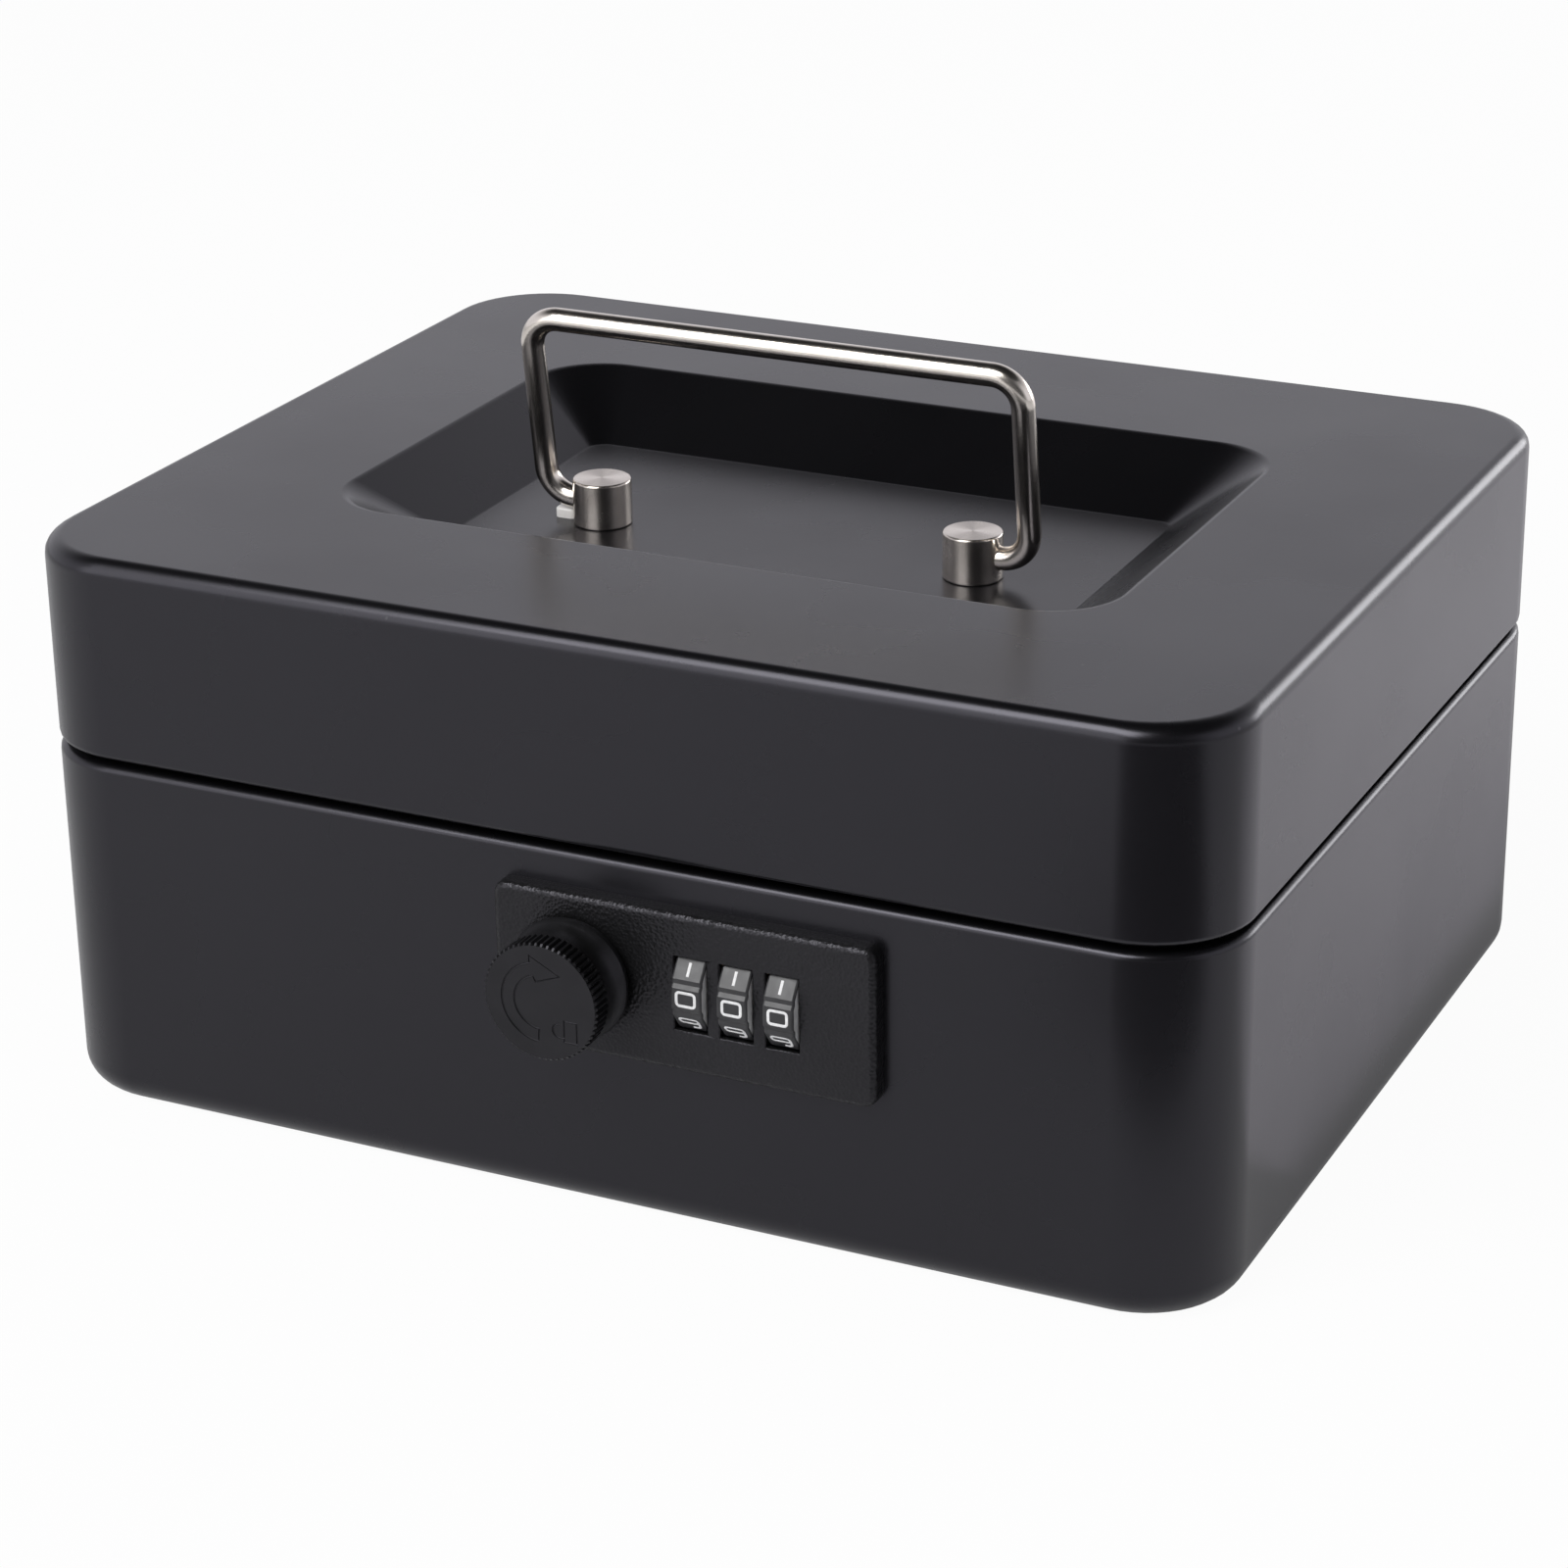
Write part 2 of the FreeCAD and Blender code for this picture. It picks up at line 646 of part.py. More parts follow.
def make_hinge_leaf(owner, name, up):
    """Welded hinge leaf: flat plate inside the rear wall, necks and rolled knuckles round the pin."""
    body = new_body(f"{owner}_hinge_leaf_{name}", f"{SIDES[name]} * {HINGE_CENTRE}")
    inside = f"({WALL_INSIDE} - leaf_thickness)"
    near = f"{HINGE_HEIGHT} + {up} * {BARREL_REACH}"
    far = f"{HINGE_HEIGHT} + {up} * leaf_height"
    plate = rectangle(inside, WALL_INSIDE, near, far)
    pad(body, "plate", "YZ_Plane", "-hinge_length / 2", "hinge_length", plate)
    moves = owner == "lid"
    neck = rectangle(inside, WALL_INSIDE, HINGE_HEIGHT, near)
    knuckle = circle(HINGE_BACK, HINGE_HEIGHT, "barrel_diameter / 2")
    for i, (start, length) in enumerate(knuckle_runs(middle=moves)):
        pad(body, f"neck_{i}", "YZ_Plane", start, length, neck)
        pad(body, f"knuckle_{i}", "YZ_Plane", start, length, knuckle)
    play = "running_clearance" if moves else "0"
    bore = circle(HINGE_BACK, HINGE_HEIGHT, f"hinge_pin_diameter / 2 + {play}")
    cut(body, "bore", "YZ_Plane", "hinge_length / 2", "hinge_length", bore)


def make_hinge_pin(name):
    body = new_body(f"hinge_pin_{name}", f"{SIDES[name]} * {HINGE_CENTRE}")
    section = circle(HINGE_BACK, HINGE_HEIGHT, "hinge_pin_diameter / 2")
    pad(body, "rod", "YZ_Plane", "-hinge_length / 2", "hinge_length", section)


def make_lid_strike():
    """Folded bracket on the lid's front wall; its foot lies under the latch claw when locked."""
    body = new_body("lid_strike")
    claw = "sqrt(latch_claw_inner ^ 2 - (strike_width / 2) ^ 2)"
    foot_top = f"({LOCK_HEIGHT} + {claw} - strike_gap)"
    foot_low = f"({foot_top} - strike_sheet)"
    tongue_front = f"({LATCH_BACK} - strike_tongue_gap)"
    tongue_back = f"({tongue_front} - strike_sheet)"
    arm_low = "(lid_edge_height + strike_drop)"
    arm_top = f"({arm_low} + strike_sheet)"
    corners = [
        (f"-{WALL_INSIDE}", arm_low),
        (f"-{tongue_front}", arm_low),
        (f"-{tongue_front}", foot_top),
        (f"-({tongue_back} + strike_foot)", foot_top),
        (f"-({tongue_back} + strike_foot)", foot_low),
        (f"-{tongue_back}", foot_low),
        (f"-{tongue_back}", arm_top),
        (f"-({WALL_INSIDE} - strike_sheet)", arm_top),
        (f"-({WALL_INSIDE} - strike_sheet)", f"{arm_low} + strike_height"),
        (f"-{WALL_INSIDE}", f"{arm_low} + strike_height"),
    ]
    pad(body, "strip", "YZ_Plane", "knob_centre - strike_width / 2", "strike_width", polygon(corners))


def boss_places():
    """Centres of the four screw bosses of the lock, as seen from the front."""
    across = (f"({BEZEL_LEFT} + boss_inset)", f"({BEZEL_RIGHT} - boss_inset)")
    rise = "(bezel_height / 2 - boss_inset)"
    return [(x, f"({LOCK_HEIGHT} + {up} * {rise})") for x in across for up in (-1, 1)]


def make_lock_bezel():
    """Moulded plate on the front wall: rounded front edges, dial windows, bosses for the screws."""
    body = new_body("lock_bezel")
    plate = rounded(BEZEL_LEFT, BEZEL_RIGHT, BEZEL_LOW, BEZEL_HIGH, "bezel_corner")
    pad(body, "plate", "XZ_Plane", FRONT, "bezel_thickness", plate)
    round_edges(body, "front_round", "bezel_edge_round", edge_at("y", f"-{BEZEL_FACE}"))
    bosses = [circle(x, z, "boss_diameter / 2") for x, z in boss_places()]
    pad(body, "bosses", "XZ_Plane", f"{FRONT} - boss_length", "boss_length", together(*bosses))
    relief = rectangle(
        CHAMBER_LEFT, CHAMBER_RIGHT,
        f"{LOCK_HEIGHT} - {DIAL_REACH}", f"{LOCK_HEIGHT} + {DIAL_REACH}",
    )
    behind = "bezel_thickness - bezel_skin"
    cut(body, "dial_relief", "XZ_Plane", f"{BEZEL_FACE} - bezel_skin", behind, relief)
    windows = [
        rectangle(f"{x} - window_width / 2", f"{x} + window_width / 2",
                  f"{LOCK_HEIGHT} - window_height / 2", f"{LOCK_HEIGHT} + window_height / 2")
        for x in DIAL_PLACES
    ]
    cut(body, "windows", "XZ_Plane", BEZEL_FACE, "bezel_skin", together(*windows))
    bore = circle("knob_centre", LOCK_HEIGHT, "spindle_diameter / 2 + fit_gap")
    cut(body, "spindle_hole", "XZ_Plane", BEZEL_FACE, "bezel_thickness", bore)
    pilots = [circle(x, z, "lock_screw_diameter / 2") for x, z in boss_places()]
    cut(body, "pilot_holes", "XZ_Plane", FRONT, "boss_length", together(*pilots))


def housing_outline():
    return rounded(
        f"{BEZEL_LEFT} + housing_margin", f"{BEZEL_RIGHT} - housing_margin",
        f"{BEZEL_LOW} + housing_margin", f"{BEZEL_HIGH} - housing_margin",
        "housing_corner",
    )


def make_lock_housing():
    """Moulded housing behind the front wall: dial chamber, spindle bearing, fence and lever guides."""
    body = new_body("lock_housing")
    pad(body, "block", "XZ_Plane", HOUSING_BACK, "housing_depth", housing_outline())
    chamber = rectangle(CHAMBER_LEFT, CHAMBER_RIGHT, CHAMBER_FLOOR, f"{LOCK_HEIGHT} + {DIAL_REACH}")
    cut(body, "dial_chamber", "XZ_Plane", WALL_INSIDE, "housing_depth - housing_web", chamber)
    swing = f"(eccentric_diameter / 2 + {ECCENTRIC_SHIFT} * sqrt(2) + dial_clearance)"
    room = circle("knob_centre", LOCK_HEIGHT, swing)
    cut(body, "eccentric_room", "XZ_Plane", WEB_FRONT, "housing_web", room)
    half = "(fence_height / 2 + slide_gap)"
    guide = rectangle(
        "knob_centre", f"{FENCE_RIGHT} + fence_spring_length",
        f"{LOCK_HEIGHT} - {half}", f"{LOCK_HEIGHT} + {half}",
    )
    cut(body, "fence_guide", "XZ_Plane", WEB_FRONT, "housing_web", guide)
    lever_room = rectangle(
        "lever_start - slide_gap", "lever_start + lever_length + lever_travel + slide_gap",
        f"{LEVER_LOW} - slide_gap", f"{LEVER_LOW} + lever_height + slide_gap",
    )
    lever_depth = "lever_thickness + 2 * slide_gap"
    cut(body, "lever_room", "XZ_Plane", f"{HOUSING_BACK} + {lever_depth}", lever_depth, lever_room)
    bearing = circle("knob_centre", LOCK_HEIGHT, "spindle_diameter / 2 + running_clearance")
    cut(body, "spindle_bearing", "XZ_Plane", WALL_INSIDE, "housing_depth - housing_web", bearing)
    sockets = [circle(x, z, "boss_diameter / 2 + fit_gap") for x, z in boss_places()]
    cut(body, "boss_sockets", "XZ_Plane", WALL_INSIDE, "boss_length - sheet_metal", together(*sockets))
    holes = [circle(x, z, "lock_screw_diameter / 2 + fit_gap") for x, z in boss_places()]
    cut(body, "screw_holes", "XZ_Plane", WALL_INSIDE, "housing_depth", together(*holes))
    end = f"{CHAMBER_RIGHT} + dial_shaft_seat"
    run = f"{end} - ({CHAMBER_LEFT} - dial_shaft_seat)"
    radius = "dial_shaft_diameter / 2"
    slot = rectangle(
        f"-{WALL_INSIDE}", f"-{DIAL_AXIS}",
        f"{LOCK_HEIGHT} - {radius}", f"{LOCK_HEIGHT} + {radius}",
    )
    cut(body, "shaft_slot", "YZ_Plane", end, run, slot)
    cut(body, "shaft_seat", "YZ_Plane", end, run, circle(f"-{DIAL_AXIS}", LOCK_HEIGHT, radius))


def make_lock_rear_cover():
    body = new_body("lock_rear_cover")
    pad(body, "plate", "XZ_Plane", COVER_BACK, "cover_thickness", housing_outline())
    holes = [circle(x, z, "lock_screw_diameter / 2 + fit_gap") for x, z in boss_places()]
    holes.append(circle("knob_centre", LOCK_HEIGHT, "spindle_diameter / 2 + fit_gap"))
    middle = f"({LEVER_LOW} + lever_height / 2)"
    tab_left = "(lever_start + (lever_length - lever_tab) / 2)"
    holes.append(rectangle(
        f"{tab_left} - slide_gap", f"{tab_left} + lever_tab + lever_travel + slide_gap",
        f"{middle} - lever_tab / 2 - slide_gap", f"{middle} + lever_tab / 2 + slide_gap",
    ))
    cut(body, "holes", "XZ_Plane", HOUSING_BACK, "cover_thickness", together(*holes))


def make_lock_screws():
    body = new_body("lock_screws")
    shanks = [circle(x, z, "lock_screw_diameter / 2") for x, z in boss_places()]
    pad(body, "shanks", "XZ_Plane", COVER_BACK, "lock_screw_length", together(*shanks))
    heads = [circle(x, z, "lock_screw_head / 2") for x, z in boss_places()]
    head = "lock_screw_head_height"
    pad(body, "heads", "XZ_Plane", f"{COVER_BACK} - {head}", head, together(*heads))


def make_dial_shaft():
    body = new_body("dial_shaft", "0", f"-{DIAL_AXIS}", LOCK_HEIGHT)
    start = f"{CHAMBER_LEFT} - dial_shaft_seat"
    length = f"{CHAMBER_RIGHT} - {CHAMBER_LEFT} + 2 * dial_shaft_seat"
    pad(body, "rod", "YZ_Plane", start, length, circle("0", "0", "dial_shaft_diameter / 2"))


def make_dial_wheel(index, place):
    """Dial with ten flat digit faces, a groove between each two, and a bore for its code sleeve."""
    body = new_body(f"dial_wheel_{index}", place, f"-{DIAL_AXIS}", LOCK_HEIGHT)
    half_turn = f"(180 / {DIGITS})"
    stock = f"(dial_flat / cos({half_turn}))"
    pad(body, "stock", "YZ_Plane", "-dial_width / 2", "dial_width", circle("0", "0", stock))
    groove = f"({stock} - dial_groove)"
    beyond = f"(2 * {stock})"
    waste = polygon([
        (f"-{groove} * cos({half_turn})", f"-{groove} * sin({half_turn})"),
        ("-dial_flat", "-dial_facet / 2"),
        ("-dial_flat", "dial_facet / 2"),
        (f"-{groove} * cos({half_turn})", f"{groove} * sin({half_turn})"),
        (f"-{beyond} * cos({half_turn})", f"{beyond} * sin({half_turn})"),
        (f"-{beyond} * cos({half_turn})", f"-{beyond} * sin({half_turn})"),
    ])
    face = cut(body, "digit_face", "YZ_Plane", "dial_width / 2", "dial_width", waste)
    repeat_round(body, "digit_faces", face, "X_Axis", str(DIGITS))
    sides = [edge_at("x", f"{side} * dial_width / 2") for side in SIDES.values()]
    bevel_edges(body, "side_edges", "dial_edge", lambda edge: any(chosen(edge) for chosen in sides))
    bore = circle("0", "0", "sleeve_diameter / 2 + running_clearance")
    cut(body, "bore", "YZ_Plane", "dial_width / 2", "dial_width", bore)


def make_code_sleeve(index, place):
    """Sleeve that a dial turns on, with a disc beside the dial and a notch for the fence in its rear."""
    body = new_body(f"code_sleeve_{index}", place, f"-{DIAL_AXIS}", LOCK_HEIGHT)
    length = "dial_width + slide_gap + code_disc_thickness"
    pad(body, "tube", "YZ_Plane", "-dial_width / 2", length, circle("0", "0", "sleeve_diameter / 2"))
    disc = circle("0", "0", "code_disc_diameter / 2")
    pad(body, "disc", "YZ_Plane", DISC_LEFT, "code_disc_thickness", disc)
    half = "code_notch_width / 2"
    notch = rectangle("code_notch_floor", "code_disc_diameter", f"-{half}", half)
    disc_right = f"{DISC_LEFT} + code_disc_thickness"
    cut(body, "notch", "YZ_Plane", disc_right, "code_disc_thickness", notch)
    bore = circle("0", "0", "dial_shaft_diameter / 2 + running_clearance")
    cut(body, "bore", "YZ_Plane", disc_right, length, bore)


def make_detent_spring():
    """Spring strip on the floor of the dial chamber, with a ridge under the dials' grooves."""
    body = new_body("detent_spring", "0", f"-{DIAL_AXIS}", CHAMBER_FLOOR)
    front = f"-({WALL_INSIDE} - {DIAL_AXIS} - slide_gap)"
    back = f"({DIAL_AXIS} - {WEB_FRONT} - slide_gap)"
    half = "(detent_ridge_width / 2)"
    strip = polygon([
        (front, "0"),
        (back, "0"),
        (back, "detent_thickness"),
        (half, "detent_thickness"),
        ("0", "detent_ridge"),
        (f"-{half}", "detent_thickness"),
        (front, "detent_thickness"),
    ])
    start = f"{CHAMBER_LEFT} + slide_gap"
    pad(body, "strip", "YZ_Plane", start, f"{CHAMBER_RIGHT} - {CHAMBER_LEFT} - 2 * slide_gap", strip)


def make_fence_slide():
    """Bar behind the dials: its left end follows the eccentric, its teeth stand in the code notches."""
    body = new_body("fence_slide", "0", "0", LOCK_HEIGHT)
    bar = rectangle(FENCE_LEFT, FENCE_RIGHT, "-fence_height / 2", "fence_height / 2")
    pad(body, "bar", "XZ_Plane", FENCE_BACK, "fence_thickness", bar)
    half = "fence_tooth_height / 2"
    teeth = []
    for place in DIAL_PLACES:
        left = f"({place} + {DISC_LEFT} + (code_disc_thickness - fence_tooth) / 2)"
        teeth.append(rectangle(left, f"{left} + fence_tooth", f"-{half}", half))
    tip = f"({DIAL_AXIS} - code_notch_floor - (code_notch_width - fence_tooth_height) / 2)"
    pad(body, "teeth", "XZ_Plane", FENCE_FRONT, f"{tip} - {FENCE_FRONT}", together(*teeth))


def make_fence_spring():
    """Bent leaf between the fence's right end and the end of its guide."""
    body = new_body("fence_spring", FENCE_RIGHT, "0", LOCK_HEIGHT)
    foot = "(fence_height / 2 - slide_gap)"
    tip = "(fence_spring_leaf / 2)"
    leaf = polygon([
        ("0", f"-{foot}"),
        ("fence_spring_length", f"-{tip}"),
        ("fence_spring_length", tip),
        ("0", foot),
        ("0", f"{foot} - fence_spring_leaf"),
        ("fence_spring_length - fence_spring_leaf", "0"),
        ("0", f"-({foot} - fence_spring_leaf)"),
    ])
    pad(body, "leaf", "XZ_Plane", f"{FENCE_BACK} + slide_gap", "fence_thickness - 2 * slide_gap", leaf)


def make_code_lever():
    """Small slide in the housing's rear, with a tab through the cover, for setting a new code."""
    body = new_body("code_lever", "lever_start", "0", LEVER_LOW)
    plate = rectangle("0", "lever_length", "0", "lever_height")
    pad(body, "plate", "XZ_Plane", f"{HOUSING_BACK} + slide_gap", "lever_thickness", plate)
    left = "((lever_length - lever_tab) / 2)"
    low = "((lever_height - lever_tab) / 2)"
    tab = rectangle(left, f"{left} + lever_tab", low, f"{low} + lever_tab")
    reach = "(lever_tab_reach + cover_thickness + slide_gap)"
    pad(body, "tab", "XZ_Plane", f"{HOUSING_BACK} + slide_gap - {reach}", reach, tab)


def make_knob():
    """Moulded knob: smooth skirt, narrow neck and a knurled grip, with a socket for the spindle."""
    body = new_body("knob", "knob_centre", "0", LOCK_HEIGHT)
    skirt_back = f"({BEZEL_FACE} + knob_gap)"
    skirt_front = f"({skirt_back} + knob_skirt_length)"
    grip_back = f"({skirt_front} + knob_neck_length)"
    grip_front = f"({grip_back} + knob_grip_length)"
    skirt = circle("0", "0", "knob_skirt_diameter / 2")
    pad(body, "skirt", "XZ_Plane", skirt_back, "knob_skirt_length", skirt)
    round_edges(body, "skirt_round", "knob_skirt_round", edge_at("y", f"-{skirt_front}"))
    neck = circle("0", "0", "knob_neck_diameter / 2")
    pad(body, "neck", "XZ_Plane", skirt_front, "knob_neck_length", neck)
    grip = circle("0", "0", "knob_grip_diameter / 2")
    pad(body, "grip", "XZ_Plane", grip_back, "knob_grip_length", grip)
    rims = [edge_at("y", f"-{place}") for place in (grip_back, grip_front)]
    reach = number("knob_grip_diameter / 2")
    bevel_edges(body, "grip_edges", "knob_grip_edge", lambda edge: any(
        chosen(edge) and span(edge, "x")[1] > reach - NEAR for chosen in rims))
    rim = "(knob_grip_diameter / 2)"
    flute = polygon([
        (f"{rim} - knurl_depth", "0"),
        (f"{rim} + knurl_depth", "-knurl_width"),
        (f"{rim} + knurl_depth", "knurl_width"),
    ])
    groove = cut(body, "flute", "XZ_Plane", grip_front, "knob_grip_length", flute)
    repeat_round(body, "knurl", groove, "Y_Axis", "knurl_count")
    socket = circle("0", "0", "spindle_diameter / 2")
    cut(body, "socket", "XZ_Plane", f"{skirt_back} + spindle_in_knob", "spindle_in_knob", socket)


def make_knob_spindle():
    """Spindle with the fence's eccentric on it and a square end for the latch cam."""
    body = new_body("knob_spindle", "knob_centre", "0", LOCK_HEIGHT)
    front = f"({BEZEL_FACE} + knob_gap + spindle_in_knob)"
    shaft = circle("0", "0", "spindle_diameter / 2")
    pad(body, "shaft", "XZ_Plane", LATCH_FRONT, f"{front} - {LATCH_FRONT}", shaft)
    shift = f"-{ECCENTRIC_SHIFT}"
    eccentric = circle(shift, shift, "eccentric_diameter / 2")
    pad(body, "eccentric", "XZ_Plane", FENCE_BACK, "eccentric_thickness", eccentric)
    half = "spindle_square / 2"
    square = rectangle(f"-{half}", half, f"-{half}", half)
    pad(body, "square", "XZ_Plane", LATCH_BACK, "latch_thickness", square)
    tapped = circle("0", "0", "latch_screw_diameter / 2")
    cut(body, "tapped_hole", "XZ_Plane", f"{LATCH_BACK} + latch_screw_length", "latch_screw_length", tapped)


def ring_sector(inner, outer, start, end):
    """Part of a flat ring round the origin, between two angles in degrees."""
    def corner(radius, angle):
        return point(f"{radius} * cos({angle})", f"{radius} * sin({angle})")

    def middle(radius):
        return corner(radius, f"(({start}) + ({end})) / 2")

    def draw(sketch):
        inside = Part.Arc(corner(inner, start), middle(inner), corner(inner, end))
        outside = Part.Arc(corner(outer, start), middle(outer), corner(outer, end))
        first = Part.LineSegment(corner(inner, start), corner(outer, start))
        last = Part.LineSegment(corner(inner, end), corner(outer, end))
        arc_in, arc_out, side_first, side_last = sketch.addGeometry([inside, outside, first, last], False)
        for arc, radius in ((arc_in, inner), (arc_out, outer)):
            hold_point(sketch, arc, 3, "0", "0")
            constrain(sketch, "Radius", arc, text=radius)
        for arc, line_end in ((arc_in, 1), (arc_out, 2)):
            sketch.addConstraint(Sketcher.Constraint("Coincident", arc, 1, side_first, line_end))
            sketch.addConstraint(Sketcher.Constraint("Coincident", arc, 2, side_last, line_end))
        for line, angle in ((side_first, start), (side_last, end)):
            hold_height = f"{inner} * sin({angle})"
            constrain(sketch, "DistanceY", -1, 1, line, 1, text=hold_height)
            sketch.addConstraint(Sketcher.Constraint("PointOnObject", -1, 1, line))
    return draw


def make_latch_cam():
    """Claw on the spindle: hub, web and a hooked arm that swings over the lid's strike."""
    body = new_body("latch_cam", "knob_centre", "0", LOCK_HEIGHT)
    pad(body, "hub", "XZ_Plane", LATCH_BACK, "latch_thickness", circle("0", "0", "latch_hub / 2"))
    trail = "-latch_claw_trail"
    claw = ring_sector("latch_claw_inner", "latch_claw_outer", trail, "latch_claw_lead")
    pad(body, "claw", "XZ_Plane", LATCH_BACK, "latch_thickness", claw)
    reach = "((latch_claw_inner + latch_claw_outer) / 2)"
    along = (f"{reach} * cos({trail})", f"{reach} * sin({trail})")
    across = (f"-latch_web_width * sin({trail})", f"latch_web_width * cos({trail})")
    web = polygon([("0", "0"), along, (f"{along[0]} + {across[0]}", f"{along[1]} + {across[1]}"), across])
    pad(body, "web", "XZ_Plane", LATCH_BACK, "latch_thickness", web)
    half = "spindle_square / 2"
    square = rectangle(f"-{half}", half, f"-{half}", half)
    cut(body, "square_hole", "XZ_Plane", LATCH_FRONT, "latch_thickness", square)


def make_latch_washer():
    body = new_body("latch_washer", "knob_centre", "0", LOCK_HEIGHT)
    ring = together(
        circle("0", "0", "latch_washer_diameter / 2"),
        circle("0", "0", "latch_screw_diameter / 2 + fit_gap"),
    )
    pad(body, "ring", "XZ_Plane", f"{LATCH_BACK} - latch_washer_thickness", "latch_washer_thickness", ring)


def make_latch_screw():
    body = new_body("latch_screw", "knob_centre", "0", LOCK_HEIGHT)
    seat = f"({LATCH_BACK} - latch_washer_thickness)"
    shank = circle("0", "0", "latch_screw_diameter / 2")
    pad(body, "shank", "XZ_Plane", seat, "latch_screw_length", shank)
    head = circle("0", "0", "latch_screw_head / 2")
    pad(body, "head", "XZ_Plane", f"{seat} - latch_screw_head_height", "latch_screw_head_height", head)


def make_coin_tray():
    """Moulded tray hung by its rim on the base: scooped coin cups at the rear, larger bays in front."""
    body = new_body("coin_tray")
    side = "(box_width / 2 - base_flange - tray_gap)"
    rear = "(box_depth / 2 - base_flange - tray_gap)"
    top = f"({BASE_TOP} + tray_rim_thickness)"
    block = rounded(f"-{side}", side, f"-{rear}", rear, "tray_corner")
    pad(body, "block", "XY_Plane", f"{top} - tray_depth", "tray_depth", block)
    rim = centred(
        "box_width - 2 * tray_rim_inset", "box_depth - 2 * tray_rim_inset",
        "corner_radius - tray_rim_inset",
    )
    pad(body, "rim", "XY_Plane", BASE_TOP, "tray_rim_thickness", rim)

    lock_left = f"({BEZEL_LEFT} - tray_lock_side_gap)"
    lock_right = f"({BEZEL_RIGHT} + tray_lock_side_gap)"
    strike_back = f"({LATCH_BACK} - strike_tongue_gap - strike_sheet)"
    lock_rear = f"-({strike_back} - tray_lock_rear_gap)"
    notch = rectangle(lock_left, lock_right, f"-{FRONT}", lock_rear)
    cut(body, "lock_notch", "XY_Plane", top, "tray_depth", notch)

    inner = f"({side} - tray_wall)"
    back = f"({rear} - tray_wall)"
    deep = "tray_depth - tray_wall"
    cup = f"((2 * {inner} - {COIN_CUPS - 1} * tray_wall) / {COIN_CUPS})"
    scoop = rounded("tray_divider_rear", back, f"{top} - ({deep})", f"{top} + 2 * tray_scoop", "tray_scoop")
    for i in range(COIN_CUPS):
        right = f"({inner} - {i} * ({cup} + tray_wall))"
        cut(body, f"coin_cup_{i}", "YZ_Plane", right, cup, scoop)

    near = "(tray_divider_rear - tray_wall)"
    behind_lock = f"({lock_rear} + tray_wall)"
    left_bay = rounded(f"-{inner}", f"({lock_left} - tray_wall)", f"-{back}", near, "tray_well_corner")
    middle_bay = rounded(lock_left, "tray_note_right", behind_lock, near, "tray_well_corner")
    right_edge = "(tray_note_right + tray_wall)"
    right_bay = polygon([
        (right_edge, near), (right_edge, behind_lock),
        (f"({lock_right} + tray_wall)", behind_lock), (f"({lock_right} + tray_wall)", f"-{back}"),
        (inner, f"-{back}"), (inner, near),
    ])
    cut(body, "front_bays", "XY_Plane", top, deep, together(left_bay, middle_bay, right_bay))


def check_and_write():
    for item in doc.Objects:
        if "Invalid" in item.State or "Error" in item.State:
            raise RuntimeError(f"{item.Name} failed: {item.State}")
    for body in pieces:
        if body.Shape.isNull() or not body.Shape.isValid() or not body.Shape.Solids:
            raise RuntimeError(f"{body.Label} has no valid solid")
    os.makedirs("parts", exist_ok=True)
    for body in pieces:
        body.Shape.exportStep(f"parts/{body.Label}.step")
        print(f"{body.Label}: {len(body.Shape.Solids)} solid(s), {body.Shape.Volume:.1f} mm3")


fill_sheet()
make_base_shell()
make_lid_shell()
for hand in SIDES:
    make_hinge_leaf("base", hand, -1)
    make_hinge_leaf("lid", hand, 1)
    make_hinge_pin(hand)
make_handle_post("left", 180)
make_handle_post("right", 0)
make_post_washers()
make_post_nuts()
make_handle_bail()
make_lid_strike()
make_lock_bezel()
make_lock_housing()
make_lock_rear_cover()
make_lock_screws()
make_dial_shaft()
for position, dial_place in enumerate(DIAL_PLACES, start=1):
    make_dial_wheel(position, dial_place)
    make_code_sleeve(position, dial_place)
make_detent_spring()
make_fence_slide()
make_fence_spring()
make_code_lever()
make_knob()
make_knob_spindle()
make_latch_cam()
make_latch_washer()
make_latch_screw()
make_coin_tray()
check_and_write()
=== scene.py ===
"""Looks of a cash box with a folding bail and a three-dial combination lock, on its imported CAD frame."""
import bmesh
import bpy
import math
from mathutils import Matrix, Vector


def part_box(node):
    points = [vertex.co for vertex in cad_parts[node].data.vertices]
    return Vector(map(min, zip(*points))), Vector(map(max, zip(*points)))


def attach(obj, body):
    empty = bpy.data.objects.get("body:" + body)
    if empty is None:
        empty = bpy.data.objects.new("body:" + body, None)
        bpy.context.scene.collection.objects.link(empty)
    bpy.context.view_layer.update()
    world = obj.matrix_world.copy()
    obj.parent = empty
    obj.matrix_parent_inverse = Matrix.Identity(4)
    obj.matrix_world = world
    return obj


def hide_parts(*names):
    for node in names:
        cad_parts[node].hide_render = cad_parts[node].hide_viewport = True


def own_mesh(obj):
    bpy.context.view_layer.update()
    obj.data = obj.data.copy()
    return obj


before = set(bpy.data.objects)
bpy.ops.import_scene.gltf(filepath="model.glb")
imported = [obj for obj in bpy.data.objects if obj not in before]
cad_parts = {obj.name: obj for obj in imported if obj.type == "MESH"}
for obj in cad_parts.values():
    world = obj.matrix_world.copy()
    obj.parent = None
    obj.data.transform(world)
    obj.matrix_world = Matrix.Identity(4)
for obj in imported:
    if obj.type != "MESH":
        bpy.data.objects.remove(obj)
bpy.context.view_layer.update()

# Base tub
# Deep-drawn steel sheet with round corners and a rounded bottom edge. The rim is turned inwards
# to carry the coin tray, the front is pierced for the lock and the rear rim for the hinge barrels.
MM = 0.001
